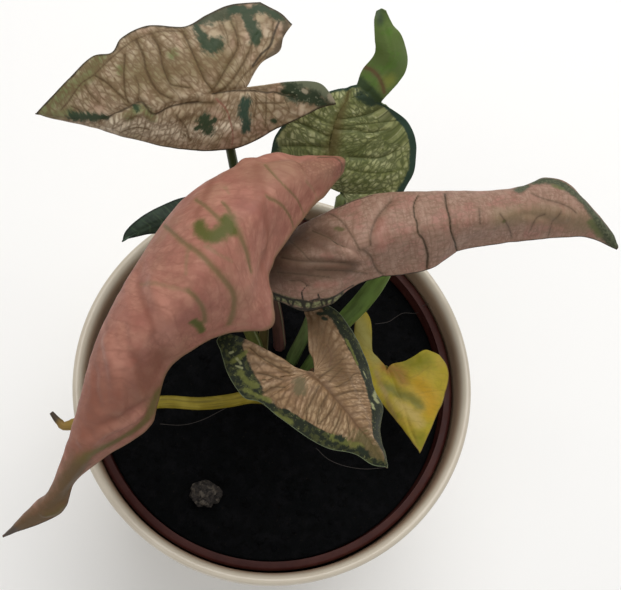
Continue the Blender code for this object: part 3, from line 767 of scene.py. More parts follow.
# %% Measures on a blade
RIB_STEPS = 60
OUTER_STEPS = (24, 60)


def edge_distance(bm, spots):
    """Each spot's distance to the outline of the blade, in millimetres."""
    outline = [v.co for v in bm.verts if v.is_boundary]
    finder = KDTree(len(outline))
    for i, spot in enumerate(outline):
        finder.insert(spot, i)
    finder.balance()
    return np.array([finder.find(s)[2] for s in spots]) / MM


def rib_line(leaf):
    """The line that the leaf's length is measured on: its midrib, or the crown of its curl."""
    points = leaf["rolled"][2] if "rolled" in leaf else leaf["midrib"] + leaf.get("twist", [])[1:]
    return even_points([place(p) for p in points], RIB_STEPS)


def outer_distance(leaf, spots, edge):
    """Each spot's distance to the outer edge, which leaves out the notch of an arrow leaf."""
    if "rolled" in leaf:
        return edge
    nearest = np.full(len(spots), VERY_FAR)
    for half in leaf["halves"]:
        line = rail([half["lobe"], half["margin"]], OUTER_STEPS)
        nearest = np.minimum(nearest, along_and_off(spots, line)[1])
    return nearest


print("ribs are measured in", RIB_STEPS, "steps")


# %% Pieces
def show(name, mesh):
    """An object for the mesh, linked to the scene."""
    piece = bpy.data.objects.new(name, mesh)
    bpy.context.scene.collection.objects.link(piece)
    return piece


def rounded(name, bm, finish):
    """An object for the bmesh, shaded smooth and in one finish."""
    mesh = to_mesh(name, bm)
    mesh.shade_smooth()
    mesh.materials.append(finish)
    return show(name, mesh)


def dress(piece, node):
    """The piece rides on the pot and stands for its solid, which is hidden."""
    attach(piece, "root")
    if node:
        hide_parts(node)
    print(piece.name, "has", len(piece.data.polygons), "faces")


# %% Growing a leaf
BLADE_THICKNESS = 0.4


def grow_leaf(name, leaf, marks, folds, finishes):
    """One leaf, from its blade, its petiole and what is drawn on it. A fold is one stroke."""
    bm = blade_sheet(leaf)
    sheet = BVHTree.FromBMesh(bm)
    spots = np.array([v.co for v in bm.verts])
    normals = np.array([v.normal for v in bm.verts])
    rib = rib_line(leaf)
    layers = {kind: stroke_mask(sheet, spots, strokes) for kind, strokes in marks.items()}
    layers["edge"] = edge_distance(bm, spots)
    layers["outer"] = outer_distance(leaf, spots, layers["edge"])
    layers["along"], layers["rib"] = along_and_off(spots, rib)
    angle = math.radians(leaf.get("vein angle", SIDE_VEIN_ANGLE))
    start, out = feather(spots, rib, layers["along"], layers["rib"], angle)
    raised = [(height, stroke_mask(sheet, spots, [stroke])) for height, *stroke in folds]
    lift = relief(leaf, layers, spots, raised)
    for vert, spot in zip(bm.verts, spots + normals * lift[:, None] * MM):
        vert.co = spot
    petiole = petiole_mesh(leaf, BVHTree.FromBMesh(bm))
    halves = [f[bm.faces.layers.int["half"]] for f in bm.faces for _ in f.loops]
    blade = to_mesh("blade", bm)
    for kind, values in layers.items():
        blade.attributes.new(kind, "FLOAT", "POINT").data.foreach_set("value", values)
    corners = np.zeros(len(blade.loops), int)
    blade.loops.foreach_get("vertex_index", corners)
    vein_map = np.stack([start[corners] + HALF_APART * np.array(halves), out[corners]], 1)
    blade.uv_layers.new(name="feather").data.foreach_set("uv", vein_map.ravel())
    return join_leaf(name, blade, petiole, finishes)


def join_leaf(name, blade, petiole, finishes):
    """Gives the blade its thickness, joins the petiole to it and puts the leaf in the scene."""
    for finish in finishes:
        blade.materials.append(finish)
    flat = show("flat", blade)
    wall = flat.modifiers.new("thickness", "SOLIDIFY")
    wall.thickness = BLADE_THICKNESS * MM
    wall.offset = 0.0
    wall.material_offset = wall.material_offset_rim = UNDER_SLOT
    settled = bpy.context.evaluated_depsgraph_get()
    thick = bpy.data.meshes.new_from_object(flat.evaluated_get(settled))
    bpy.data.objects.remove(flat)
    bm = bmesh.new()
    bm.from_mesh(thick)
    bm.from_mesh(petiole)
    mesh = to_mesh(name, bm)
    for finish in finishes:
        mesh.materials.append(finish)
    mesh.shade_smooth()
    return show(name, mesh)


print("leaves are", BLADE_THICKNESS, "mm thick")

# %% [markdown]
# A syngonium leaf is a thin living skin with a soft satin gloss. Its colour is laid down in
# layers: the flesh, soft patches of other tints, a net of fine veins, the bigger veins, blotches
# of green and a margin. Most of the helpers below give one mask each. Noise frays its edge or lets
# it wander, because on a real leaf no line is clean.

# %% Masks on a leaf
HALO_FRAY = (2.0, 0.8)


def leaf_skin(name, **values):
    """The skin of a leaf or a stem, with its vein map in millimetres besides its place."""
    skin = new_skin(name, IOR=1.4, Specular_IOR_Level=0.3, **values)
    skin.veins = add(skin, "ShaderNodeUVMap", {"uv_map": "feather"}).outputs["UV"]
    return skin


def mark(skin, name):
    """The measure of that name that the leaf keeps at each of its points."""
    return add(skin, "ShaderNodeAttribute", {"attribute_name": name}).outputs["Fac"]


def drawn(skin, name, low=0.0, high=0.7, size=0.9, amount=0.3):
    """A mask from one of the marks on the leaf, frayed at its edge."""
    return ragged(skin, mark(skin, name), low, high, size, amount)


def uneven(skin, mask, size=3.0, low=0.3, high=0.6):
    """The mask, weaker in some places than in others."""
    return both(skin, mask, patches(skin, size, low, high, 2.0))


def margin(skin, width, soft, size, amount, wider=None, extra=0.0):
    """A mask along the outer edge, in millimetres. It is wider by extra where a mark says so."""
    edge = mark(skin, "outer")
    if wider:
        reach = add(skin, "ShaderNodeClamp", None, {"Value": mark(skin, wider)}).outputs[0]
        edge = add(skin, "ShaderNodeMath", {"operation": "MULTIPLY_ADD"},
                   {0: reach, 1: -extra, 2: edge}).outputs[0]
    return ragged(skin, edge, width, width - soft, size, amount)


def halo(skin, name, reach):
    """A soft band on both sides of a mark, as far out as some times the mark's own width."""
    return ragged(skin, mark(skin, name), -reach, 1.0, *HALO_FRAY)


print("a leaf keeps its marks as attributes, and its vein map as UV")

# %% Masks that follow the veins
NET_SWAY = 2.0
VEIN_SWAY = 3.0
STREAK_SWAY = 0.5
# A side vein slims to a share of its width over some branch distances. Finer ones between them
# have their own share of the width, and are whole after some branch distances
SLIM_SHARE, SLIM_OVER = 0.4, 4
FINE_SHARE, FINE_AFTER = 0.45, 1.6


def swayed(skin, place, unit, size, amount):
    """A place that wanders by an amount in millimetres, so that no line on it stays straight."""
    wander = add(skin, "ShaderNodeTexNoise", None,
                 {"Vector": place, "Scale": 1 / (size * unit), "Detail": 3.0})
    centred = add(skin, "ShaderNodeVectorMath", {"operation": "SUBTRACT"},
                  {0: wander.outputs["Color"], 1: (0.5, 0.5, 0.5)})
    pushed = add(skin, "ShaderNodeVectorMath", {"operation": "MULTIPLY_ADD"},
                 {0: centred.outputs[0], 1: (2 * amount * unit,) * 3, 2: place})
    return pushed.outputs[0]


def vein_net(skin, cell, width, sway=0.6, place=None, unit=1.0):
    """Fine veins round small cells: a mask that is 1 on a vein, and how high a cell swells."""
    wandering = swayed(skin, place or skin.veins, unit, NET_SWAY, sway)
    scaled = add(skin, "ShaderNodeVectorMath", {"operation": "DIVIDE"},
                 {0: wandering, 1: tuple(side * unit for side in cell)})
    cells = add(skin, "ShaderNodeTexVoronoi", {"feature": "DISTANCE_TO_EDGE"},
                {"Vector": scaled.outputs[0], "Scale": 1.0})
    line = add(skin, "ShaderNodeMapRange", SMOOTH,
               {"Value": cells.outputs["Distance"], "From Min": width, "From Max": 0.0})
    return line.outputs[0], cells.outputs["Distance"]


def side_veins(skin, spacing, width, sway=0.5, branch=3.0):
    """Side veins at an even spacing along the midrib. Finer ones start between them."""
    wandering = swayed(skin, skin.veins, 1.0, VEIN_SWAY, sway)
    split = add(skin, "ShaderNodeSeparateXYZ", None, {0: wandering})
    off_line = add(skin, "ShaderNodeMath", {"operation": "PINGPONG"},
                   {0: split.outputs[0], 1: spacing / 2}).outputs[0]
    off_middle = add(skin, "ShaderNodeMath", {"operation": "SUBTRACT"},
                     {0: spacing / 2, 1: off_line}).outputs[0]
    slim = add(skin, "ShaderNodeMapRange", None,
               {"Value": split.outputs[1], "From Max": SLIM_OVER * branch, "To Min": width,
                "To Max": SLIM_SHARE * width}).outputs[0]
    first = add(skin, "ShaderNodeMapRange", SMOOTH,
                {"Value": off_line, "From Min": slim, "From Max": 0.0}).outputs[0]
    second = add(skin, "ShaderNodeMapRange", SMOOTH,
                 {"Value": off_middle, "From Min": FINE_SHARE * width, "From Max": 0.0}).outputs[0]
    begun = add(skin, "ShaderNodeMapRange", SMOOTH,
                {"Value": split.outputs[1], "From Min": branch, "From Max": FINE_AFTER * branch})
    later = both(skin, second, begun.outputs[0])
    return add(skin, "ShaderNodeMath", {"operation": "MAXIMUM"}, {0: first, 1: later}).outputs[0]


def streaks(skin, across, along, low, high):
    """Soft streaks that run along the side veins, with their width and length in millimetres."""
    wandering = swayed(skin, skin.veins, 1.0, VEIN_SWAY, STREAK_SWAY)
    drawn_out = add(skin, "ShaderNodeVectorMath", {"operation": "DIVIDE"},
                    {0: wandering, 1: (across, along, 1.0)})
    return clouds(skin, drawn_out.outputs[0], 1.0, low, high, 3.0)


def ribbed(skin, ribs, low, high, detail):
    """Soft ribs along a stem, whose vein map holds turns round it and millimetres along it."""
    drawn_out = add(skin, "ShaderNodeVectorMath", {"operation": "MULTIPLY"},
                    {0: skin.veins, 1: ribs})
    return clouds(skin, drawn_out.outputs[0], 1.0, low, high, detail)


print("masks that follow the veins read the UV map")

# %% Marks with feathery edges
# Tongues have a width and a length in millimetres, and the limits of the streaks that shape them
TONGUES = (1.0, 2.5, 0.3, 0.7)
TONGUE_SHIFT = 0.3
FEATHER_LIMITS = (-0.3, 0.6)
FEATHER_FRAY = (0.8, 0.3)


def feathery(skin, name):
    """A mark whose edge runs out into soft tongues along the side veins."""
    tongues = streaks(skin, *TONGUES)
    pushed = add(skin, "ShaderNodeMath", {"operation": "MULTIPLY_ADD"},
                 {0: tongues, 1: 2 * TONGUE_SHIFT, 2: mark(skin, name)}).outputs[0]
    centred = add(skin, "ShaderNodeMath", {"operation": "SUBTRACT"}, {0: pushed, 1: TONGUE_SHIFT})
    return ragged(skin, centred.outputs[0], *FEATHER_LIMITS, *FEATHER_FRAY)


print("feathery edges have tongues", TONGUES[1], "mm long")

# %% Satin faces and undersides
GRAIN_SIZE = 0.5
GRAIN_SHARE = 0.4
GLOSS_SIZE = 6
SATIN_ROUGHNESS = (0.42, 0.66)


def satin(skin, cells, depth=0.07):
    """Swells the cells a little and lets the gloss vary in soft patches."""
    grain = add(skin, "ShaderNodeTexNoise", None,
                {"Vector": skin.where, "Scale": 1 / (GRAIN_SIZE * MM), "Detail": 3.0})
    height = add(skin, "ShaderNodeMath", {"operation": "MULTIPLY_ADD"},
                 {0: grain.outputs[0], 1: GRAIN_SHARE, 2: cells})
    bump = add(skin, "ShaderNodeBump", None,
               {"Strength": 1.0, "Distance": depth * MM, "Height": height.outputs[0]})
    gloss = add(skin, "ShaderNodeTexNoise", None,
                {"Vector": skin.where, "Scale": 1 / (GLOSS_SIZE * MM), "Detail": 3.0})
    dull, dullest = SATIN_ROUGHNESS
    rough = add(skin, "ShaderNodeMapRange", None,
                {"Value": gloss.outputs[0], "To Min": dull, "To Max": dullest})
    feed(skin, "Normal", bump.outputs[0])
    feed(skin, "Roughness", rough.outputs[0])


def under_face(name, ground, vein):
    """The underside: paler and duller than the upper face, with a soft net of veins."""
    skin = leaf_skin(name)
    net, cells = vein_net(skin, (2.2, 4.0, 1.0), 0.14)
    lay_over(skin, ground, [
        (vein, 0.7, side_veins, 4.2, 0.4),
        (vein, 0.4, net),
    ])
    satin(skin, cells)
    return skin.finish


print("leaves are satin, with a roughness of", SATIN_ROUGHNESS)

# %% Skin of a petiole
# How many soft ribs lie round a stem, and how often they change in a millimetre along it
PETIOLE_RIBS = (9.0, 0.08, 1.0)
# Where round a stem its painted highlight line runs, and how wide it is
PAINTED_HIGHLIGHT_AT = 0.95
PAINTED_HIGHLIGHT_WIDTH = 0.02


def petiole_skin(name, foot, top, length):
    """The skin of a petiole: streaked along its length, with a painted highlight line down one side.
    """
    skin = leaf_skin(name, Roughness=0.4)
    split = add(skin, "ShaderNodeSeparateXYZ", None, {0: skin.veins})
    rise = add(skin, "ShaderNodeMapRange", None,
               {"Value": split.outputs[1], "From Max": length})
    painted_highlight = add(skin, "ShaderNodeMath", {"operation": "COMPARE"},
               {0: split.outputs[0], 1: PAINTED_HIGHLIGHT_AT, 2: PAINTED_HIGHLIGHT_WIDTH})
    lay_over(skin, foot, [
        (top, 1, rise.outputs[0]),
        ("241A14", 0.4, ribbed, PETIOLE_RIBS, 0.35, 0.7, 3),
        # Painted highlight: a pale line down one side of each stem
        ("A3AA84", 0.45, painted_highlight.outputs[0]),
    ])
    return skin.finish


print("a petiole has", PETIOLE_RIBS[0], "soft ribs")

# %% [markdown]
# The left pink leaf is the nearest to the camera and the pinkest. Its flesh is a dusty salmon
# that turns to tan at the back end and to olive-brown at the tip. Its broad soft veins and a
# bean-shaped blotch are the only green left in it, and an olive band follows its front margin.

# %% Marks on the left pink leaf
LEFT_PINK_MARKS = {
    "vein": [
        ([(265, 165), (272, 173), (285, 187), (295, 197), (302, 210), (303, 216)], 0.7, 0.4),
        ([(266, 197), (280, 204), (288, 214), (292, 223), (293, 227)], 0.8, 0.5),
        ([(222, 202), (228, 209), (231, 216)], 0.6, 1),
        ([(231, 216), (239, 234), (246, 251), (249, 264), (251, 272)], 1.6, 0.8),
        ([(162, 224), (172, 232), (184, 243), (196, 251), (206, 260), (216, 271), (224, 280),
          (231, 289), (234, 299), (233, 311), (229, 324)], 0.9, 1.4),
        ([(188, 291), (197, 299), (203, 309), (205, 322)], 0.8, 1.1),
        ([(196, 200), (205, 206), (214, 214), (220, 221)], 0.8, 1),
    ],
    "faint": [
        ([(306, 182), (315, 192), (316, 200)], 0.6, 0.5),
        ([(225, 188), (229, 194)], 0.7, 0.5),
        ([(190, 246), (187, 258), (186, 274)], 0.9, 0.6),
        ([(139, 283), (152, 284), (170, 287), (188, 291)], 0.8, 0.8),
        ([(205, 246), (222, 256), (232, 262)], 0.7, 0.5),
    ],
    "blotch": [
        ([(199, 225), (202, 232), (211, 237), (219, 234), (226, 227)], 2.7, 3.4),
        ([(226, 220), (230, 230)], 2.6, 2.6),
        ([(229, 222), (234, 232)], 1.8, 1.4),
        ([(193, 321), (198, 324), (202, 331)], 2, 1.6),
    ],
    "pebbled": [([(304, 168), (324, 164), (342, 166)], 5, 6)],
    "band": [
        ([(157, 394), (150, 412), (140, 425), (127, 434), (113, 442), (99, 449), (87, 457),
          (78, 466), (73, 480)], 3.2, 2.4),
    ],
    # Painted shade: a broad darker wash over the lower end, which hangs down to the front
    "deep": [([(150, 372), (126, 396), (100, 410), (88, 430), (76, 450)], 14, 9)],
    # Painted highlight on the lit sides of the ridges
    "pale": [
        ([(118, 350), (126, 380), (128, 402)], 4, 3.2),
        ([(88, 437), (108, 428), (128, 420)], 2.6, 2.6),
        ([(146, 286), (158, 300), (172, 312)], 4.5, 4),
        ([(159, 320), (168, 338), (175, 352)], 5, 4.5),
        ([(112, 352), (122, 366)], 3, 3),
    ],
    # Painted shade in the valleys and on the shaded sides of the folds
    "shade": [
        ([(98, 345), (95, 375), (92, 410)], 5.5, 5.5),
        ([(137, 283), (141, 300), (148, 318), (155, 334)], 2.2, 1.6),
        ([(84, 436), (105, 424), (122, 415), (140, 405)], 2.2, 1.8),
        ([(106, 312), (108, 330)], 1.8, 1.6),
        ([(136, 352), (140, 372), (150, 386)], 2.4, 2),
        ([(214, 176), (206, 196), (196, 216)], 2.4, 2.4),
        ([(256, 166), (262, 200), (266, 236), (262, 268)], 3, 3.4),
    ],
    "arc": [([(318, 158), (332, 158), (339, 161), (341, 167), (339, 176)], 0.8, 0.6)],
    "tan": [([(262, 172), (290, 168), (330, 168)], 11, 6)],
    "tip": [([(76, 472), (58, 500), (38, 518), (8, 535)], 8, 7)],
    "bump": [([(49, 513), (56, 511), (62, 505)], 1.8, 1.6)],
    "end": [([(14, 530), (5, 536)], 2.4, 2.4)],
}
LEFT_PINK_FOLDS = [
    (1, [(108, 340), (115, 372), (118, 395), (120, 412)], 4, 3),
    (-0.9, [(90, 432), (105, 424), (117, 417), (131, 411), (146, 403)], 3.4, 3),
    (0.8, [(82, 442), (104, 432), (128, 422), (140, 414)], 3, 2.8),
    (-0.9, [(137, 275), (141, 300), (148, 318), (158, 342), (166, 362)], 5.5, 5),
    (0.7, [(152, 284), (160, 304), (170, 328), (180, 348)], 4.5, 4.5),
    (0.9, [(230, 168), (240, 164), (250, 162)], 4, 4),
    (-1.2, [(268, 158), (284, 156), (302, 157)], 4.5, 4.5),
    (-0.6, [(124, 330), (126, 344), (130, 358)], 2.6, 2.6),
    (0.5, [(128, 366), (134, 384), (142, 396)], 2.6, 2.4),
    (-0.5, [(96, 372), (96, 392), (100, 408)], 2.6, 2.6),
    (-0.5, [(64, 456), (80, 446), (92, 436)], 2.6, 2.4),
    (0.6, [(258, 205), (262, 232), (268, 262)], 4, 4),
    (-0.5, [(272, 236), (262, 262), (256, 300)], 4, 4),
    (0.5, [(240, 160), (252, 176), (262, 196)], 3.5, 3),
    (-0.6, [(300, 160), (310, 176), (316, 192)], 2.6, 2.2),
    (0.8, [(45, 513), (54, 511), (62, 504)], 2.2, 2),
]
print("marks:", ", ".join(LEFT_PINK_MARKS))


# %% The left pink leaf
def left_pink_face():
    """Dusty salmon flesh, tan at the back, olive-brown at the tip."""
    skin = leaf_skin("leaf_skin_salmon_pink")
    net, _ = vein_net(skin, (2.4, 4.0, 1.0), 0.3)
    pebbles, bumps = vein_net(skin, (1.1, 1.1, 1.1), 0.35, 0.6, skin.where, MM)
    lay_over(skin, "9E6A5A", [
        ("AD7B68", 0.8, streaks, 4, 9, 0.42, 0.66),
        ("8C574B", 0.7, patches, 9, 0.48, 0.7),
        ("98775E", 0.5, patches, 20, 0.5, 0.66),
        ("926F58", 0.7, drawn, "tan", 0, 0.9),
        # Painted highlight on the ridges of the folds
        ("AF7B69", 0.6, drawn, "pale", 0, 1, 3, 0.2),
        # Painted shade in the folds, then over the lower end
        ("794737", 0.5, drawn, "shade", 0, 1, 3, 0.2),
        ("7C4C3A", 0.6, drawn, "deep", 0, 0.8, 6, 0.3),
        ("845748", 0.4, uneven, net, 6, 0.3, 0.6),
        ("815344", 0.3, side_veins, 8, 0.8, 1.2),
        ("6E4638", both(skin, pebbles, 0.5), drawn, "pebbled", 0, 0.8),
        ("4E3D2B", 0.8, drawn, "arc", 0, 0.9),
        ("7F6C4D", 0.45, halo, "faint", 0.5),
        ("7F6447", 0.6, halo, "vein", 0.8),
        ("6D5A3B", 0.75, drawn, "vein", 0, 0.9),
        ("6C5C36", 0.8, halo, "blotch", 0.2),
        ("4C501D", 0.9, drawn, "blotch", 0, 0.8, 1.5, 0.4),
        ("816149", 1, margin, 2, 1.8, 2, 0.6),
        ("704F36", 0.8, halo, "band", 0.9),
        ("65562E", 1, drawn, "band", -0.1, 0.9, 1.5, 0.4),
        ("5F4A30", 1, drawn, "tip", 0, 0.9, 3, 0.3),
        ("3F3022", margin(skin, 0.6, 0.5, 2, 0.3), drawn, "tip"),
        ("5D5029", 0.8, drawn, "bump", 0, 1, 2, 0.3),
        ("4F463F", 0.9, drawn, "end", -0.2, 1, 2, 0.3),
    ])
    satin(skin, bumps)
    return skin.finish


left_pink = grow_leaf(
    "left_pink_leaf", LEFT_PINK, LEFT_PINK_MARKS, LEFT_PINK_FOLDS,
    [left_pink_face(), under_face("leaf_underside_pink", "9B7468", "7A574C"),
     petiole_skin("petiole_skin_left_pink", "56702E", "5A4A2A", 110)],
)
dress(left_pink, "leaf_left_pink")

# %% [markdown]
# The right pink leaf is duller, because the net of brown veins in it is denser. Two thin dark
# veins cross it like pencil lines. The lower end has a margin of pale green cells between dark
# cross veins, and the tip wears a dark green hem.

# %% Marks on the right pink leaf
RIM_CROSSES = [(274, 294, 3), (281, 296, 0), (287, 298, 3), (294, 300, -2), (301, 300, 3),
               (304, 301, 1), (312, 301, -2), (321, 300, 2), (325, 299, 3), (333, 297, -2),
               (341, 292, 2)]
RIM_CROSS_LENGTH = 7
RIGHT_PINK_MARKS = {
    "vein": [
        ([(418, 196), (414, 203), (414, 214), (417, 222), (418, 233), (423, 239), (426, 247),
          (428, 256), (427, 268)], 0.45, 0.65),
        ([(445, 193), (446, 204), (450, 219), (451, 231), (455, 242), (457, 251)], 0.6, 0.5),
        ([(312, 230), (322, 234), (330, 238), (336, 243), (345, 247)], 0.4, 0.3),
    ],
    "faint": [
        ([(479, 209), (480, 224)], 0.6, 0.4),
        ([(531, 194), (543, 199), (558, 203), (570, 208), (576, 213)], 0.5, 0.5),
        ([(500, 214), (508, 226), (512, 238)], 0.5, 0.4),
        # The next five lines lie in the valleys of folds, where their dark is painted shade
        ([(290, 281), (300, 281), (308, 286)], 0.5, 0.5),
        ([(363, 250), (371, 257), (376, 269), (383, 275)], 0.6, 0.5),
        ([(318, 270), (345, 271), (367, 274)], 0.6, 0.4),
        ([(281, 257), (300, 261), (320, 262), (345, 263)], 0.8, 0.6),
        ([(391, 200), (382, 210), (376, 218), (371, 232), (371, 246)], 0.8, 0.6),
        ([(545, 214), (535, 220), (530, 230)], 0.5, 0.4),
        ([(560, 212), (552, 224), (548, 236)], 0.5, 0.4),
        ([(284, 236), (300, 250), (312, 262)], 0.5, 0.4),
        ([(278, 272), (300, 274), (330, 277)], 0.6, 0.5),
        ([(330, 214), (342, 222), (352, 236), (360, 250)], 0.5, 0.4),
    ],
    "rim_line": [
        ([(268, 292), (276, 294), (284, 297), (292, 299), (300, 300), (308, 301), (318, 299),
          (326, 299), (334, 296), (341, 292), (347, 288), (353, 285)], 0.8, 0.6),
        ([(303, 299), (302, 291), (307, 286)], 0.45, 0.3),
        ([(319, 299), (318, 293)], 0.6, 0.3),
        ([(268, 299), (284, 305), (298, 308), (312, 309), (326, 306), (338, 301), (350, 294)],
         0.8, 0.6),
    ] + [([(x, y), (x + turn, y + RIM_CROSS_LENGTH)], 0.6, 0.5) for x, y, turn in RIM_CROSSES],
    "rim_cells": [
        ([(266, 294), (286, 299), (300, 303), (312, 305), (324, 302), (336, 298), (348, 291)],
         2, 2),
    ],
    "top_line": [([(336, 209), (355, 201), (372, 196)], 0.7, 0.4)],
    "hem": [
        ([(518, 191), (532, 183), (548, 181), (562, 185), (576, 195), (589, 209), (601, 225),
          (615, 243)], 2.2, 3.6),
    ],
    "bright": [([(553, 186), (563, 189)], 1.5, 1.2), ([(590, 222), (600, 236)], 2, 1.6)],
    "pink": [([(380, 222), (381, 245)], 4, 4), ([(318, 285), (335, 284)], 2.4, 2)],
    # Painted shadow of the left pink leaf over the left end, on top of the brown between its folds
    "brown": [([(270, 268), (310, 268), (350, 268)], 7.5, 4), ([(280, 246), (322, 238)], 9, 8)],
    "tip": [([(500, 218), (540, 214), (585, 225)], 6, 6)],
    "smudge": [([(337, 229), (342, 230)], 1.6, 1.2), ([(503, 221), (504, 221)], 0.9, 0.9)],
}
RIGHT_PINK_FOLDS = [
    (-0.7, [(279, 257), (300, 261), (320, 262), (345, 263), (364, 265)], 2.4, 1.6),
    (0.5, [(344, 258), (356, 261), (368, 266)], 1.8, 1.5),
    (-0.45, [(316, 270), (345, 271), (368, 274)], 2, 1.6),
    (0.3, [(300, 266), (330, 267), (360, 269)], 1.8, 1.5),
    (-0.4, [(290, 281), (300, 281), (308, 286)], 1.5, 1.3),
    (-0.5, [(312, 230), (322, 234), (330, 238), (345, 247), (366, 257)], 1.6, 1.4),
    (0.4, [(310, 240), (330, 248), (352, 254)], 1.8, 1.4),
    (-0.7, [(391, 200), (382, 210), (376, 218), (371, 232), (371, 250)], 2.6, 2.2),
    (0.5, [(398, 206), (386, 220), (381, 236), (381, 250)], 3, 3),
    (-0.5, [(363, 250), (371, 257), (376, 269), (383, 275)], 1.5, 1.4),
    (-0.4, [(405, 215), (408, 240), (412, 262)], 2.6, 2.6),
    (-0.4, [(415, 197), (416, 221), (425, 242), (427, 266)], 1.2, 1.2),
    (-0.35, [(445, 192), (449, 221), (456, 249)], 1.2, 1.2),
    (0.5, [(532, 204), (550, 208), (566, 216)], 2.4, 2.4),
    (-0.5, [(524, 214), (545, 218), (560, 226)], 2, 2),
]
print("marks:", ", ".join(RIGHT_PINK_MARKS))


# %% The right pink leaf
def right_pink_face():
    """Dusty pink-tan flesh under a dense brown net, with a green hem at the tip."""
    skin = leaf_skin("leaf_skin_dusty_pink")
    net, cells = vein_net(skin, (2.2, 3.4, 1.0), 0.22, 1.2)
    speckle = patches(skin, 0.9, 0.4, 0.62, 4.0)
    lay_over(skin, "937463", [
        ("A08372", 0.7, streaks, 2.2, 6, 0.44, 0.62),
        ("996A5E", 0.7, patches, 9, 0.48, 0.68),
        ("7E6653", 0.6, streaks, 5, 0.9, 0.5, 0.64),
        ("765646", 0.5, uneven, net, 4, 0.3, 0.55),
        ("735B48", 0.35, side_veins, 4.6, 0.5, 0.8),
        ("7A6A4E", 0.65, drawn, "tip", 0, 1, 3, 0.3),
        # Painted shadow of the left pink leaf over the left end, on brown
        ("513B2C", 0.8, drawn, "brown", -0.2, 0.8, 3, 0.3),
        ("9B6458", 0.45, drawn, "pink", 0, 1, 3, 0.6),
        # Faint veins, and painted shade where some of them lie in fold valleys
        ("6A5743", 0.4, halo, "faint", 1.5),
        ("4A362A", 0.65, drawn, "faint", 0, 1),
        ("524D2B", 0.8, drawn, "smudge", 0, 0.8, 1.5, 0.4),
        ("6A5744", 0.5, halo, "vein", 1.2),
        ("382A18", 0.9, drawn, "vein", 0, 0.8, 0.8, 0.4),
        ("4A4A30", 0.9, drawn, "rim_cells", 0, 0.7, 1, 0.4),
        ("80825C", speckle, drawn, "rim_cells", 0.2, 0.8, 1, 0.5),
        ("25221A", 0.95, drawn, "rim_line", 0, 0.7, 0.7, 0.5),
        ("2B2A1C", 0.8, drawn, "top_line", 0, 0.8),
        ("3B402D", 1, drawn, "hem", -0.1, 0.7, 1.5, 0.45),
        ("595C45", speckle, drawn, "hem", 0.1, 0.9, 1.5, 0.4),
        ("5B613A", 0.8, drawn, "bright", 0, 0.9, 1.5, 0.4),
        ("242319", 1, margin, 0.5, 0.45, 2, 0.25),
    ])
    satin(skin, cells)
    return skin.finish


right_pink = grow_leaf(
    "right_pink_leaf", RIGHT_PINK, RIGHT_PINK_MARKS, RIGHT_PINK_FOLDS,
    [right_pink_face(), under_face("leaf_underside_dusty_pink", "8D7465", "6B5348"),
     petiole_skin("petiole_skin_right_pink", "44522A", "6A8440", 60)],
)
dress(right_pink, "leaf_right_pink")

# %% [markdown]
# The upper left leaf is an arrowhead seen from above. Its flesh is cream, warmed by tan and
# pink, and its brown veins branch like a river. Dark green shows at its upper margin, in
# blotches on the lobes and in a hem round the whole leaf.

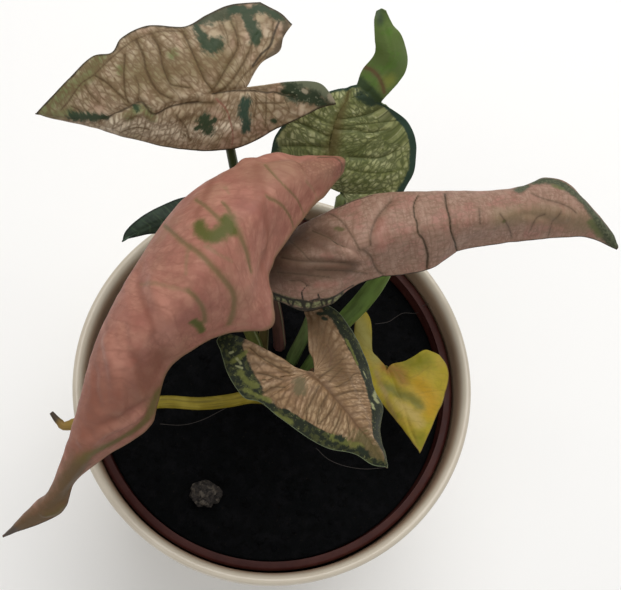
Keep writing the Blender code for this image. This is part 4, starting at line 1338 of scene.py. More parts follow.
# %% Marks on the upper left leaf
UPPER_LEFT_CREASE = [(105, 122), (114, 115), (129, 107), (141, 102), (149, 112), (156, 115),
                     (169, 108), (181, 105), (199, 102)]
UPPER_LEFT_MARKS = {
    "vein": [
        ([(184, 33), (190, 46), (197, 62), (205, 80), (212, 90)], 0.7, 0.5),
        ([(153, 37), (159, 48), (162, 64), (168, 80), (172, 85), (190, 88)], 0.7, 0.5),
        ([(136, 40), (143, 54), (146, 69), (152, 83), (160, 93), (172, 99)], 0.8, 0.6),
        ([(125, 55), (124, 74), (125, 92), (128, 102)], 0.6, 0.5),
        ([(96, 76), (107, 83), (119, 94), (125, 100)], 0.6, 0.5),
        ([(212, 90), (217, 85), (226, 69), (232, 59), (238, 46), (236, 33), (231, 22)], 0.7, 0.5),
        ([(216, 94), (229, 84), (241, 67), (249, 52), (252, 43), (258, 33)], 0.7, 0.5),
        ([(187, 104), (202, 103), (213, 103)], 0.8, 0.8),
    ],
    "faint": [
        ([(135, 76), (139, 87), (138, 100)], 0.5, 0.4),
        ([(184, 31), (158, 32), (139, 38), (127, 45), (115, 55), (105, 64), (94, 75), (82, 83),
          (75, 92), (68, 102), (61, 110)], 0.5, 0.5),
        ([(85, 85), (91, 95), (100, 103)], 0.5, 0.4),
        ([(71, 106), (80, 110)], 0.4, 0.4),
        ([(176, 114), (185, 126), (190, 140)], 0.5, 0.4),
        ([(149, 129), (135, 127), (121, 132)], 0.5, 0.4),
        ([(234, 89), (245, 74), (260, 61), (267, 52), (272, 36), (273, 22)], 0.5, 0.4),
        ([(222, 22), (227, 36), (228, 43)], 0.4, 0.4),
        ([(183, 133), (191, 140)], 0.4, 0.4),
        ([(255, 93), (256, 104), (254, 117)], 0.5, 0.4),
        ([(266, 94), (266, 109), (265, 127)], 0.5, 0.4),
        ([(274, 94), (274, 109)], 0.4, 0.4),
        ([(284, 98), (289, 109)], 0.4, 0.4),
        ([(255, 103), (284, 103)], 0.4, 0.4),
    ],
    "red": [([(216, 99), (226, 109), (231, 125), (233, 136), (232, 145)], 0.5, 0.4)],
    # Painted shade along the valleys of the two creases
    "painted_crease_shade": [
        (UPPER_LEFT_CREASE, 0.7, 0.6),
        ([(213, 94), (234, 91), (247, 91), (256, 91), (267, 93), (274, 92), (284, 95), (294, 98)],
         0.6, 0.6),
    ],
    "green": [
        ([(197, 27), (202, 37), (206, 45), (212, 47), (217, 44)], 1.5, 2.6),
        ([(232, 9), (241, 10), (251, 12), (262, 9), (280, 18)], 2, 1.7),
        ([(243, 12), (250, 22), (255, 32), (255, 40)], 2.4, 2),
        ([(204, 119), (206, 125), (208, 130)], 2.4, 2.2),
        ([(196, 128), (206, 125), (214, 120)], 1, 1),
        ([(273, 120), (275, 121)], 0.9, 0.9),
        ([(135, 107), (137, 109)], 1, 1),
        ([(72, 116), (104, 118)], 1.9, 1.6),
    ],
    "teal": [([(246, 102), (243, 110), (246, 119), (246, 128)], 2, 1.8)],
    # Painted shade on the rim that curls under, and in the crease of the curl
    "curled_rim_painted_shade": [
        ([(286, 24), (284, 36), (277, 50), (266, 60), (256, 70), (251, 82)], 2.2, 1.2),
    ],
    "rim_crease": [([(279, 22), (274, 34), (270, 46), (260, 55), (252, 66)], 0.6, 0.6)],
    # The lower half's own cream, made paler still: partly painted light where it faces the front
    "lower_pale": [([(112, 124), (150, 128), (188, 133)], 5, 4.5),
                   ([(188, 133), (215, 130), (240, 122)], 3.6, 2.4)],
    "lobe_top": [([(290, 84), (306, 82), (322, 90), (332, 98)], 3, 2.6)],
    "lobe_green": [([(289, 90), (300, 95), (312, 98), (324, 104)], 3, 2.4)],
    "lobe_pale": [([(331, 97), (333, 99)], 1.8, 1.6), ([(303, 90), (306, 92)], 0.9, 0.9)],
    "olive": [
        ([(40, 116), (60, 96), (90, 73), (104, 52), (117, 40)], 5, 3),
        ([(34, 115), (52, 114), (72, 112)], 3.5, 3),
        ([(128, 116), (142, 108), (152, 118)], 2.4, 2.4),
        ([(173, 53), (172, 56)], 2.4, 2.4),
        ([(121, 68), (121, 71)], 2, 2),
    ],
    "middle": [([(138, 74), (160, 74), (180, 68), (200, 66), (222, 58)], 7, 6)],
    "top_green": [([(186, 22), (202, 18), (216, 16), (230, 10)], 3, 2.5)],
}
UPPER_LEFT_FOLDS = [
    (-0.9, UPPER_LEFT_CREASE, 2, 1.8),
    (-0.7, [(213, 94), (234, 91), (256, 91), (274, 92), (294, 98)], 1.8, 1.6),
    (0.5, [(110, 126), (140, 112), (160, 122), (190, 112)], 2, 2),
    (-0.5, [(153, 37), (159, 48), (162, 64), (168, 80)], 1.8, 1.6),
    (-0.5, [(184, 33), (190, 46), (197, 62), (205, 80)], 1.8, 1.6),
    (-0.5, [(238, 46), (232, 59), (226, 69), (217, 85)], 1.6, 1.6),
    (0.5, [(172, 40), (178, 56), (184, 74)], 3, 2.6),
    (0.5, [(216, 40), (214, 58), (212, 76)], 3, 2.6),
]
print("marks:", ", ".join(UPPER_LEFT_MARKS))


# %% The upper left leaf
def upper_left_face():
    """Cream and tan flesh with brown veins, under blotches and a hem of dark green."""
    skin = leaf_skin("leaf_skin_cream_and_brown")
    net, cells = vein_net(skin, (1.9, 2.8, 1.0), 0.3)
    lay_over(skin, "A69377", [
        ("B8A68C", 0.8, streaks, 1.6, 4, 0.45, 0.62),
        ("AC8C77", 0.7, patches, 12, 0.48, 0.66),
        ("8A7F5A", 0.45, patches, 8, 0.5, 0.68),
        ("6B6239", 0.65, drawn, "middle", -0.2, 1, 3, 0.4),
        # Cream of the lower half, partly painted light
        ("E2D3B8", 0.85, drawn, "lower_pale", -0.2, 0.9, 3, 0.3),
        ("667040", 0.8, drawn, "olive", 0, 0.9, 2.5, 0.4),
        ("705F3C", 0.5, halo, "faint", 3),
        ("675633", 0.7, halo, "vein", 2.5),
        ("6A5238", 0.7, uneven, net, 4, 0.25, 0.5),
        ("5E4B30", 0.5, side_veins, 5, 0.6),
        ("54402A", 0.75, drawn, "faint", 0, 1, 0.8, 0.5),
        ("4B3820", 0.8, drawn, "vein", 0, 1, 0.8, 0.5),
        ("834B3F", 0.7, drawn, "red", 0, 0.9),
        # Painted shade in the creases and on the curled rim
        ("3F3120", 0.9, drawn, "painted_crease_shade", 0, 1),
        ("4E4232", 0.85, drawn, "curled_rim_painted_shade", 0, 0.8, 1.5, 0.5),
        ("332A1E", 0.85, drawn, "rim_crease", 0, 0.9),
        ("303C27", 0.9, feathery, "top_green"),
        ("2B3D27", 0.95, feathery, "green"),
        ("2A4234", 0.95, feathery, "teal"),
        ("636750", 1, drawn, "lobe_top", 0, 0.6, 1.8, 0.4),
        ("2B3521", 1, feathery, "lobe_green"),
        ("82856C", both(skin, mark(skin, "lobe_green"), 0.8), patches, 1.1, 0.58, 0.68),
        ("978D76", 0.9, drawn, "lobe_pale", 0, 0.6, 1.4, 0.5),
        ("3A3121", 1, margin, 0.9, 0.8, 2.5, 0.6),
    ])
    satin(skin, cells, 0.1)
    return skin.finish


upper_left = grow_leaf(
    "upper_left_leaf", UPPER_LEFT, UPPER_LEFT_MARKS, UPPER_LEFT_FOLDS,
    [upper_left_face(), under_face("leaf_underside_cream", "9A8C6E", "6E6448"),
     petiole_skin("petiole_skin_upper_left", "845452", "36401F", 100)],
)
dress(upper_left, "leaf_upper_left")

# %% [markdown]
# The leaf in the middle has kept most of its green. Pale green cells stand between darker veins,
# and the margins are nearly black-green. Its tip twists up and over and shows a smooth, even
# green.

# %% Marks on the green leaf in the middle
CENTRE_GREEN_MARKS = {
    "vein": [
        ([(339, 120), (353, 118), (370, 114), (385, 107)], 0.6, 0.4),
        ([(337, 130), (353, 130), (370, 133), (385, 130)], 0.6, 0.4),
        ([(340, 126), (364, 124), (385, 122), (400, 120)], 0.5, 0.4),
        ([(346, 153), (356, 152), (366, 144), (377, 137), (390, 131), (400, 124)], 0.6, 0.4),
        ([(349, 157), (364, 158), (380, 158), (392, 153), (400, 145)], 0.6, 0.4),
        ([(348, 169), (361, 172), (380, 173), (394, 171)], 0.6, 0.4),
        ([(331, 124), (318, 118), (307, 111)], 0.6, 0.4),
        ([(327, 137), (316, 131), (302, 124), (294, 122)], 0.6, 0.4),
        ([(320, 147), (298, 146), (282, 146)], 0.6, 0.4),
    ],
    "faint": [
        ([(364, 90), (359, 103)], 0.5, 0.4),
        ([(316, 148), (306, 141), (301, 133)], 0.5, 0.4),
    ],
    "rib_line": [([(348, 92), (343, 107), (338, 122), (334, 138), (331, 152)], 1.8, 4.2)],
    "dark": [
        ([(365, 84), (374, 94), (382, 103)], 3.4, 2),
        ([(360, 96), (372, 102)], 1.6, 1.6),
        ([(298, 103), (291, 116), (282, 126), (275, 135)], 1.8, 1.8),
        ([(269, 137), (275, 148)], 2, 2),
    ],
    "twist_top": [([(378, 12), (380, 20)], 2.8, 2)],
    "twist_foot": [([(358, 80), (368, 88), (379, 99)], 2.6, 2)],
    "right_strip": [([(396, 110), (407, 124), (411, 145), (406, 165), (397, 184)], 6, 8)],
    "left_foot": [([(262, 150), (266, 142), (274, 130)], 3, 2.6)],
    "pale": [
        ([(284, 140), (304, 138), (318, 142)], 4, 3.5),
        ([(334, 184), (344, 196), (350, 206)], 3.5, 3.5),
        ([(374, 156), (388, 164), (394, 150)], 3, 3),
    ],
    "sun": [([(386, 82), (390, 80)], 3.4, 3.4)],
    "brown": [([(365, 67), (372, 70), (378, 76), (382, 84), (384, 92)], 0.9, 0.8)],
}
CENTRE_GREEN_FOLDS = [
    (-0.9, [(346, 92), (342, 107), (334, 122), (330, 140), (327, 148)], 2.4, 2),
    (-0.5, [(339, 120), (353, 118), (370, 114), (385, 107)], 1.6, 1.4),
    (-0.5, [(337, 130), (353, 130), (370, 133), (385, 130)], 1.6, 1.4),
    (-0.5, [(349, 157), (364, 158), (380, 158), (392, 153)], 1.6, 1.4),
    (-0.5, [(327, 137), (316, 131), (302, 124), (294, 122)], 1.6, 1.4),
    (-0.5, [(320, 147), (298, 146), (282, 146)], 1.6, 1.4),
]
print("marks:", ", ".join(CENTRE_GREEN_MARKS))

# %% The green leaf in the middle
WAIST_ROW = CENTRE_GREEN["steps"][0] + CENTRE_GREEN["steps"][1]


def centre_green_face():
    """Pale green cells between darker veins, with near-black margins and a plain green tip."""
    skin = leaf_skin("leaf_skin_net_green")
    net, cells = vein_net(skin, (1.3, 2.4, 1.0), 0.3)
    twist = ragged(skin, mark(skin, "row"), WAIST_ROW, WAIST_ROW + 3, 3.0, 1.0)
    lay_over(skin, "919461", [
        ("ABAC7C", 0.8, streaks, 1.3, 3, 0.44, 0.6),
        ("CAC8A1", 0.75, streaks, 0.9, 1.6, 0.56, 0.68),
        ("656D3A", 0.75, patches, 7, 0.46, 0.64),
        ("B4B487", 0.55, drawn, "pale", -0.2, 1, 2, 0.4),
        ("686A38", 0.55, halo, "vein", 2),
        ("4A512B", 0.8, uneven, net, 4, 0.2, 0.45),
        ("585E2F", 0.65, side_veins, 4.4, 0.6, 0.7),
        ("4C5127", 0.75, drawn, "vein", 0, 1, 0.8, 0.5),
        ("5A602F", 0.7, drawn, "faint"),
        ("5D5C2E", 0.75, halo, "rib_line", 0.3),
        ("574A28", 0.7, drawn, "rib_line", 0.1, 1, 1.5, 0.3),
        ("2B3A28", 1, feathery, "dark"),
        ("283C2F", 1, margin, 1.3, 0.9, 1.6, 0.8, "right_strip", 1.9),
        ("283C2F", 1, feathery, "left_foot"),
        ("5A6B36", 1, twist),
        ("55702F", twist, patches, 5, 0.45, 0.65),
        ("333F2E", 0.8, drawn, "twist_top", -0.3, 1, 2, 0.4),
        ("38482A", 1, drawn, "twist_foot", 0, 0.7, 1.5, 0.4),
        ("848639", 0.6, drawn, "sun", 0, 0.9),
        ("5B5334", 0.6, halo, "brown", 1.2),
        ("5C462B", 0.8, drawn, "brown", 0, 0.8),
        ("3E4A2C", twist, margin, 0.7, 0.6, 2, 0.3),
    ])
    satin(skin, cells, 0.12)
    return skin.finish


centre_green = grow_leaf(
    "centre_green_leaf", CENTRE_GREEN, CENTRE_GREEN_MARKS, CENTRE_GREEN_FOLDS,
    [centre_green_face(), under_face("leaf_underside_green", "5F6C40", "46512C"),
     petiole_skin("petiole_skin_centre", "42602A", "7A8654", 70)],
)
dress(centre_green, "leaf_centre_green")

# %% [markdown]
# Only the tip and one edge of the dark leaf show, under the left pink one. It is plain
# blue-green, with paler lines where its side veins run.


# %% The dark green leaf
def dark_green_face():
    """Deep blue-green with slightly paler veins."""
    skin = leaf_skin("leaf_skin_dark_green")
    net, cells = vein_net(skin, (2.6, 5.0, 1.0), 0.14)
    lay_over(skin, "232F24", [
        ("2F3F31", 1, patches, 7, 0.45, 0.65),
        ("3B4B35", 0.6, side_veins, 4, 0.5),
        ("374836", 0.35, net),
        ("18221B", 1, margin, 0.8, 0.6, 2, 0.3),
    ])
    satin(skin, cells)
    return skin.finish


dark_green = grow_leaf(
    "dark_green_leaf", DARK_GREEN, {"vein": [], "faint": []}, [],
    [dark_green_face(), under_face("leaf_underside_dark", "4C6151", "3A4D40"),
     petiole_skin("petiole_skin_dark", "7C683E", "4A4A2C", 70)],
)
dress(dark_green, "leaf_dark_green")

# %% [markdown]
# The arrow leaf in front is beige-pink inside a broad green hem. The hem is flecked with cream
# where the colour stopped short, and a thin pale rim runs round the whole leaf.

# %% Marks on the lower arrow leaf
LOWER_ARROW_MARKS = {
    "vein": [
        ([(319, 386), (311, 402), (306, 411), (307, 421)], 0.6, 0.4),
        ([(326, 396), (319, 411), (317, 424)], 0.5, 0.4),
        ([(336, 402), (329, 414), (319, 424)], 0.5, 0.4),
        ([(341, 409), (337, 424), (332, 434)], 0.5, 0.4),
        ([(347, 416), (348, 426), (349, 436)], 0.4, 0.3),
        ([(319, 377), (326, 373), (339, 363), (343, 358)], 0.6, 0.4),
        ([(329, 382), (336, 375), (343, 368)], 0.5, 0.4),
        ([(336, 387), (347, 382), (353, 375), (359, 373)], 0.5, 0.4),
        ([(335, 396), (349, 392), (364, 391)], 0.5, 0.4),
        ([(290, 373), (278, 367), (263, 358), (250, 347)], 0.6, 0.4),
        ([(283, 380), (267, 375), (257, 373)], 0.5, 0.4),
        ([(285, 387), (273, 387), (265, 392)], 0.5, 0.4),
    ],
    "faint": [([(327, 345), (331, 356), (329, 368)], 0.5, 0.4)],
    "rib_line": [([(308, 372), (325, 385), (335, 397), (347, 411), (358, 426), (370, 440),
                   (384, 465)], 1, 0.8)],
    "blotch": [([(300, 382), (300, 390)], 2.2, 2.2)],
    "light": [([(313, 408), (330, 424), (345, 430)], 5, 4)],
    "pink": [([(262, 372), (280, 378), (300, 400)], 5, 4)],
    "brown": [([(316, 330), (324, 346), (334, 362), (340, 374)], 6, 4.5)],
    "tip": [([(360, 441), (373, 453), (385, 467)], 4, 3)],
    "left_hem": [([(232, 345), (243, 362), (252, 379)], 10, 6),
                 ([(285, 417), (312, 432), (340, 444)], 3, 3)],
    "right_hem": [([(342, 322), (351, 345), (360, 364), (370, 386), (373, 408), (375, 436)],
                   8, 6)],
    "cream": [
        ([(237, 359), (241, 364)], 0.5, 0.4),
        ([(236, 366), (242, 368)], 0.4, 0.4),
        ([(230, 353), (233, 352)], 0.5, 0.4),
        ([(376, 390), (374, 398), (377, 402)], 1, 0.9),
        ([(372, 404), (373, 408)], 0.7, 0.7),
        ([(363, 372), (366, 378)], 0.5, 0.4),
    ],
    "lime": [
        ([(333, 437), (346, 442), (361, 447)], 1.2, 1.1),
        ([(233, 362), (240, 357), (246, 352)], 0.9, 0.8),
        ([(240, 373), (248, 382), (256, 386)], 1.2, 1),
        ([(246, 390), (258, 396), (270, 401)], 0.9, 0.8),
        ([(268, 410), (290, 422)], 0.9, 1),
        ([(346, 340), (352, 352), (357, 364)], 0.7, 0.6),
    ],
    "spots": [
        ([(338, 437), (342, 439)], 1.2, 1),
        ([(360, 449), (365, 452)], 1.2, 1.2),
        ([(319, 314), (329, 313)], 1, 1),
        ([(323, 318), (326, 319)], 0.8, 0.6),
    ],
}
LOWER_ARROW_FOLDS = [
    (-0.45, [(308, 372), (325, 385), (347, 411), (370, 440), (384, 465)], 2.8, 2.2),
    (0.6, [(322, 396), (338, 418), (352, 438)], 3, 2.6),
    (0.5, [(345, 376), (356, 400), (366, 424)], 2.6, 2.4),
    (-0.6, [(290, 373), (278, 367), (263, 358), (250, 347)], 1.8, 1.6),
    (-0.5, [(285, 387), (273, 390), (262, 396)], 1.8, 1.6),
]
print("marks:", ", ".join(LOWER_ARROW_MARKS))


# %% The lower arrow leaf
def lower_arrow_face():
    """Beige-pink flesh inside a green hem, which is marbled with olive and flecked with cream."""
    skin = leaf_skin("leaf_skin_beige_and_green")
    net, cells = vein_net(skin, (1.2, 2.6, 1.0), 0.3)
    left = margin(skin, 2.9, 1.4, 1.6, 1.8, "left_hem", 6.0)
    right = margin(skin, 2.9, 1.4, 1.6, 1.8, "right_hem", 4.5)
    hem = add(skin, "ShaderNodeMath", {"operation": "MAXIMUM"}, {0: left, 1: right}).outputs[0]
    lay_over(skin, "967A5B", [
        ("AB9174", 0.85, streaks, 1.4, 4, 0.44, 0.62),
        ("896B49", 0.6, patches, 7, 0.48, 0.66),
        ("967559", 0.6, drawn, "pink", 0, 1, 2, 0.3),
        ("4C371C", 0.85, drawn, "brown", -0.4, 0.9, 2, 0.3),
        ("AE9572", 0.6, drawn, "light", 0, 0.9, 2, 0.3),
        ("6B5A3A", 0.5, halo, "vein", 1.6),
        ("6B5136", 0.7, uneven, net, 3, 0.25, 0.5),
        ("5A4129", 0.65, side_veins, 2.6, 0.8, 0.8, 5),
        ("533E28", 0.8, drawn, "vein", 0, 0.9),
        ("5E4430", 0.6, drawn, "faint"),
        ("5A5135", 0.85, feathery, "blotch"),
        ("64492F", 0.75, halo, "rib_line", 1.4),
        ("57402A", 0.7, drawn, "rib_line", 0, 1, 1.2, 0.25),
        ("4C4725", 0.75, feathery, "tip"),
        ("1B2112", 1, hem),
        ("474A25", both(skin, left, 0.7), patches, 1.6, 0.48, 0.6, 4),
        ("77794D", both(skin, hem, 0.7), patches, 0.9, 0.6, 0.7),
        ("6D7034", 0.65, feathery, "lime"),
        ("8F9067", 0.9, feathery, "cream"),
        ("1F2718", 1, feathery, "spots"),
        ("707A5B", 1, margin, 0.3, 0.25, 2, 0.12),
    ])
    satin(skin, cells, 0.1)
    return skin.finish


lower_arrow = grow_leaf(
    "lower_arrow_leaf", LOWER_ARROW, LOWER_ARROW_MARKS, LOWER_ARROW_FOLDS,
    [lower_arrow_face(), under_face("leaf_underside_beige", "74694C", "524A34"),
     petiole_skin("petiole_skin_arrow", "4A1E1A", "42301F", 70)],
)
dress(lower_arrow, "leaf_lower_arrow")

# %% [markdown]
# The yellow leaf is an old one on its way out. Its flesh is mustard, with khaki and olive where
# some green is left, and brown where it is drying.

# %% Marks on the yellow leaf
YELLOW_MARKS = {
    "vein": [],
    "faint": [
        ([(398, 372), (412, 378), (430, 366)], 0.6, 0.4),
        ([(402, 384), (395, 372), (380, 358)], 0.6, 0.4),
        ([(396, 366), (385, 344), (372, 324)], 0.6, 0.4),
        ([(410, 396), (426, 392), (444, 390)], 0.5, 0.4),
    ],
    "khaki": [([(352, 316), (366, 340), (376, 358)], 7, 5)],
    "brown": [([(386, 368), (398, 371), (402, 380)], 3.8, 3.2)],
    # Painted shade along the diagonal fold
    "grey": [([(385, 386), (400, 394), (412, 398), (420, 406)], 2.8, 2.6)],
    "pale": [([(398, 402), (412, 414), (420, 424)], 3, 2.6)],
    "olive": [([(402, 358), (414, 364), (424, 362)], 4.5, 4), ([(420, 438), (423, 450)], 4, 3)],
    "gold": [([(420, 386), (430, 400), (430, 412)], 5, 4)],
    "tan": [([(376, 372), (386, 396), (396, 418)], 1.8, 1.6)],
}
YELLOW_FOLDS = [
    (0.9, [(414, 376), (430, 386), (438, 402)], 4, 3.6),
    (-0.8, [(378, 384), (398, 394), (418, 406)], 3.4, 3),
    (0.6, [(392, 404), (408, 418), (418, 432)], 3, 2.6),
    (-0.6, [(388, 366), (400, 366), (416, 360)], 3, 2.6),
    (0.6, [(352, 312), (358, 330), (366, 346)], 3, 2.6),
]
print("marks:", ", ".join(YELLOW_MARKS))


# %% The yellow leaf
def yellow_face():
    """Mustard flesh with what is left of its green, and brown where it dries."""
    skin = leaf_skin("leaf_skin_fading_yellow")
    net, cells = vein_net(skin, (2.6, 5.0, 1.0), 0.14)
    lay_over(skin, "A29028", [
        ("AB9237", 1, patches, 9, 0.42, 0.66),
        ("8B8829", 0.6, patches, 7, 0.5, 0.7),
        ("B58B22", 0.8, drawn, "gold", -0.2, 1, 2, 0.4),
        ("958D4D", 0.9, drawn, "khaki", 0, 0.9, 2, 0.3),
        ("AD975A", 0.7, drawn, "pale", -0.2, 1, 2, 0.4),
        ("8F6432", 0.85, drawn, "brown", -0.2, 1, 1.5, 0.5),
        # Painted shade in the diagonal fold
        ("6A6A33", 0.85, drawn, "grey", -0.2, 1, 1.5, 0.5),
        ("78761B", 0.85, drawn, "olive", -0.2, 1, 1.5, 0.4),
        ("97804A", 0.8, drawn, "tan", 0, 1, 1.5, 0.4),
        ("817126", 0.25, uneven, net),
        ("817124", 0.25, side_veins, 4, 0.4),
        ("816F26", 0.35, drawn, "faint"),
        ("816D32", 1, margin, 0.5, 0.45, 2, 0.3),
    ])
    satin(skin, cells)
    return skin.finish


yellow = grow_leaf(
    "yellow_leaf", YELLOW, YELLOW_MARKS, YELLOW_FOLDS,
    [yellow_face(), under_face("leaf_underside_yellow", "82773A", "685E2A"),
     petiole_skin("petiole_skin_yellow", "5F4E20", "7E752E", 50)],
)
dress(yellow, "leaf_yellow")

# %% [markdown]
# The bare stalk lost its blade. It lies out over the lip of the pot, and its end has dried to a
# point.

# %% The bare stalk
STALK_FOOT = (-1, -5)
STALK = [(-7, -8, -5), (-14, -12.2, -2), (-22.8, -16.2, 0.5), (-36, -20, 3), (-49, -27.5, 4.2),
         (-62, -36, 4.5), (-65.3, -35.8, 5), (-68.8, -33.6, 5.5)]
STALK_RADII = (2.4, 2.0)
STALK_END_RADII = (1.7, 0.7)
STALK_STEPS = 90
STALK_END_STEPS = 10
# Ribs as on a petiole, and how many millimetres up the stalk it turns brown, and then dry
STALK_RIBS = (14.0, 0.06, 1.0)
STALK_BROWN = (84, 102)
STALK_DRY = (100, 103.5)


def stalk_skin():
    """Yellowing skin with faint ribs along it, dry and grey at the very end."""
    skin = leaf_skin("stalk_skin_yellow", Roughness=0.5)
    split = add(skin, "ShaderNodeSeparateXYZ", None, {0: skin.veins})
    dry = ragged(skin, split.outputs[1], *STALK_DRY, 2.0, 1.0)
    brown = ragged(skin, split.outputs[1], *STALK_BROWN, 4.0, 5.0)
    lay_over(skin, "928128", [
        ("A8963A", 1, patches, 8, 0.42, 0.66),
        ("6B5F22", 0.7, ribbed, STALK_RIBS, 0.45, 0.65, 2),
        ("8E6E3C", 0.8, brown),
        ("44382C", 1, dry),
    ])
    return skin.finish


stalk_path = stem_path(STALK_FOOT, STALK, STALK_STEPS)
stalk_radii = taper(STALK_RADII, len(stalk_path) - STALK_END_STEPS)
stalk_bm = bmesh.new()
add_tube(stalk_bm, stalk_path, stalk_radii + taper(STALK_END_RADII, STALK_END_STEPS))
dress(rounded("bare_stalk", stalk_bm, stalk_skin()), "stalk_yellow")

# %% [markdown]
# Both pots and the soil are turned shapes. A profile runs from the axis round to the axis, and
# the spin operator turns it once round and merges its ends.

# %% Turned pieces
TURNS = 192


def arc(centre, radius, start, end, steps):
    """Points on a round stretch of a profile, between two angles in degrees."""
    turns = [math.radians(start + (end - start) * i / steps) for i in range(steps + 1)]
    return [(centre[0] + radius * math.cos(a), centre[1] + radius * math.sin(a)) for a in turns]


def turned(profile, centre=(0, 0)):
    """A solid of revolution from a profile of radii and heights in millimetres."""
    bm = bmesh.new()
    verts = [bm.verts.new(Vector((centre[0] + r, centre[1], z)) * MM) for r, z in profile]
    edges = [bm.edges.new(pair) for pair in zip(verts, verts[1:])]
    bmesh.ops.spin(
        bm, geom=verts + edges, cent=Vector((*centre, 0)) * MM, axis=(0, 0, 1),
        angle=2 * math.pi, steps=TURNS, use_merge=True,
    )
    bmesh.ops.remove_doubles(bm, verts=bm.verts, dist=WELD * MM)
    bmesh.ops.recalc_face_normals(bm, faces=bm.faces)
    return bm


print("turned pieces have", TURNS, "sides")

# %% [markdown]
# The cachepot is slip-cast earthenware under a cream glaze. Its lip is tight outside and slopes
# gently inside, where warm shade is painted on just under the lip. The foot was wiped and shows
# the bare body.

# %% The cachepot
LIP_RADIUS = 70.0
LIP_OUTSIDE = 1.4
LIP_INSIDE = (2.8, 5.5)
POT_WALL = 4.2
FLOOR_THICKNESS = 6.0
FLOOR_CORNER = 1.5
FOOT_RADIUS = 54.0
FOOT_ROUNDING = 3.0
SIDE_CURVE = 1.8
SIDE_STEPS = 30
LIP_CLEARANCE = 1.0


def cachepot_profile():
    """The pot's outline: flat foot, steepening side, rounded lip, and the same side inside."""
    foot = arc((FOOT_RADIUS - FOOT_ROUNDING, FOOT_ROUNDING), FOOT_ROUNDING, -90, -10, 8)
    top = LIP_RADIUS - LIP_OUTSIDE
    rim = arc((top, POT_HEIGHT - LIP_OUTSIDE), LIP_OUTSIDE, 0, 90, 9)
    across, deep = LIP_INSIDE
    rim += [(top + across * x, POT_HEIGHT - deep + deep * y)
            for x, y in arc((0, 0), 1, 90, 180, 16)[1:]]
    side = []
    for i in range(1, SIDE_STEPS):
        share = i / SIDE_STEPS
        radius = LIP_RADIUS - (LIP_RADIUS - FOOT_RADIUS) * (1 - share) ** SIDE_CURVE
        side.append((radius, FOOT_ROUNDING + share * (POT_HEIGHT - LIP_OUTSIDE - FOOT_ROUNDING)))
    inside = [(r - POT_WALL, z) for r, z in reversed(side) if z < POT_HEIGHT - deep - LIP_CLEARANCE]
    corner = FOOT_RADIUS - POT_WALL
    floor = [(corner, FLOOR_THICKNESS + FLOOR_CORNER), (corner - FLOOR_CORNER, FLOOR_THICKNESS),
             (0, FLOOR_THICKNESS)]
    return [(0, 0)] + foot + side + rim + inside + floor


print("the cachepot is", POT_HEIGHT, "mm high and", 2 * LIP_RADIUS, "mm across")

# %% The cachepot's glaze
# In millimetres: heights where the foot is bare, and radii and heights of painted shade inside
BARE_HEIGHTS = (1.2, 0.8)
INSIDE_SHADE_RADII = (67.4, 65.8)
INSIDE_SHADE_HEIGHTS = (96, 100)
GLAZE_FRAY = 0.2
RIPPLE_SIZE, RIPPLE_DEPTH = 9, 0.15
GLAZED_ROUGHNESS, BARE_ROUGHNESS = 0.32, 0.85


def glaze_edge(skin, measure, limits, size):
    """A mask that rises between two limits, all in millimetres but for the measure in metres."""
    low, high = limits
    return ragged(skin, measure, low * MM, high * MM, size, GLAZE_FRAY * MM)


def cream_glaze():
    """Cream glaze over pale clay: slightly mottled, glossy, and wiped off the foot."""
    skin = new_skin("glazed_earthenware_cream", IOR=1.5, Coat_Weight=0.3)
    height = add(skin, "ShaderNodeSeparateXYZ", None, {0: skin.where}).outputs[2]
    bare = glaze_edge(skin, height, BARE_HEIGHTS, 3.0)
    level = add(skin, "ShaderNodeVectorMath", {"operation": "MULTIPLY"}, {0: skin.where, 1: (1, 1, 0)})
    reach = add(skin, "ShaderNodeVectorMath", {"operation": "LENGTH"}, {0: level.outputs[0]})
    # Where the inside wall gets painted shade: within the lip's radius, just under the lip
    inside = glaze_edge(skin, reach.outputs["Value"], INSIDE_SHADE_RADII, 6.0)
    near_lip = glaze_edge(skin, height, INSIDE_SHADE_HEIGHTS, 6.0)
    lay_over(skin, "C6BBA8", [
        ("BFB39F", 0.7, patches, 26, 0.35, 0.75, 1),
        ("CDC3B1", 0.6, patches, 9, 0.4, 0.8, 1),
        # Painted shade: warm brown on the inside wall, just under the lip
        ("A98E74", near_lip, inside),
        ("A58E72", 1, bare),
    ])
    ripple = add(skin, "ShaderNodeTexNoise", None,
                 {"Vector": skin.where, "Scale": 1 / (RIPPLE_SIZE * MM), "Detail": 2.0})
    bump = add(skin, "ShaderNodeBump", None,
               {"Strength": 1.0, "Distance": RIPPLE_DEPTH * MM, "Height": ripple.outputs[0]})
    feed(skin, "Normal", bump.outputs[0])
    rough = add(skin, "ShaderNodeMapRange", None,
                {"Value": bare, "To Min": GLAZED_ROUGHNESS, "To Max": BARE_ROUGHNESS})
    feed(skin, "Roughness", rough.outputs[0])
    return skin.finish


pot_bm = turned(cachepot_profile())
dress(rounded("glazed_cachepot", pot_bm, cream_glaze()), "cachepot")

# %% [markdown]
# The nursery pot is thin moulded plastic in a maroon brown, dusted by dried water. Its band stands
# out below the rim, and six round holes drain it. They are cut by a Boolean modifier, which is
# settled at once, so that no cutter is left in the scene.

# %% The nursery pot
NURSERY_CENTRE = (-0.3, 0.25)
NURSERY_RIM_DEPTH = 9.0
NURSERY_RIM_RADIUS = 65.2
NURSERY_RIM_INSIDE = 62.2
NURSERY_BAND = 9.0
NURSERY_CHAMFER = 1.1
NURSERY_TAPER = 0.4
NURSERY_BAND_LEAN = 0.5
NURSERY_TOP_RADIUS = 61.4
NURSERY_FOOT_RADIUS = 46.0
NURSERY_WALL = 1.3
NURSERY_STEP = 1.5


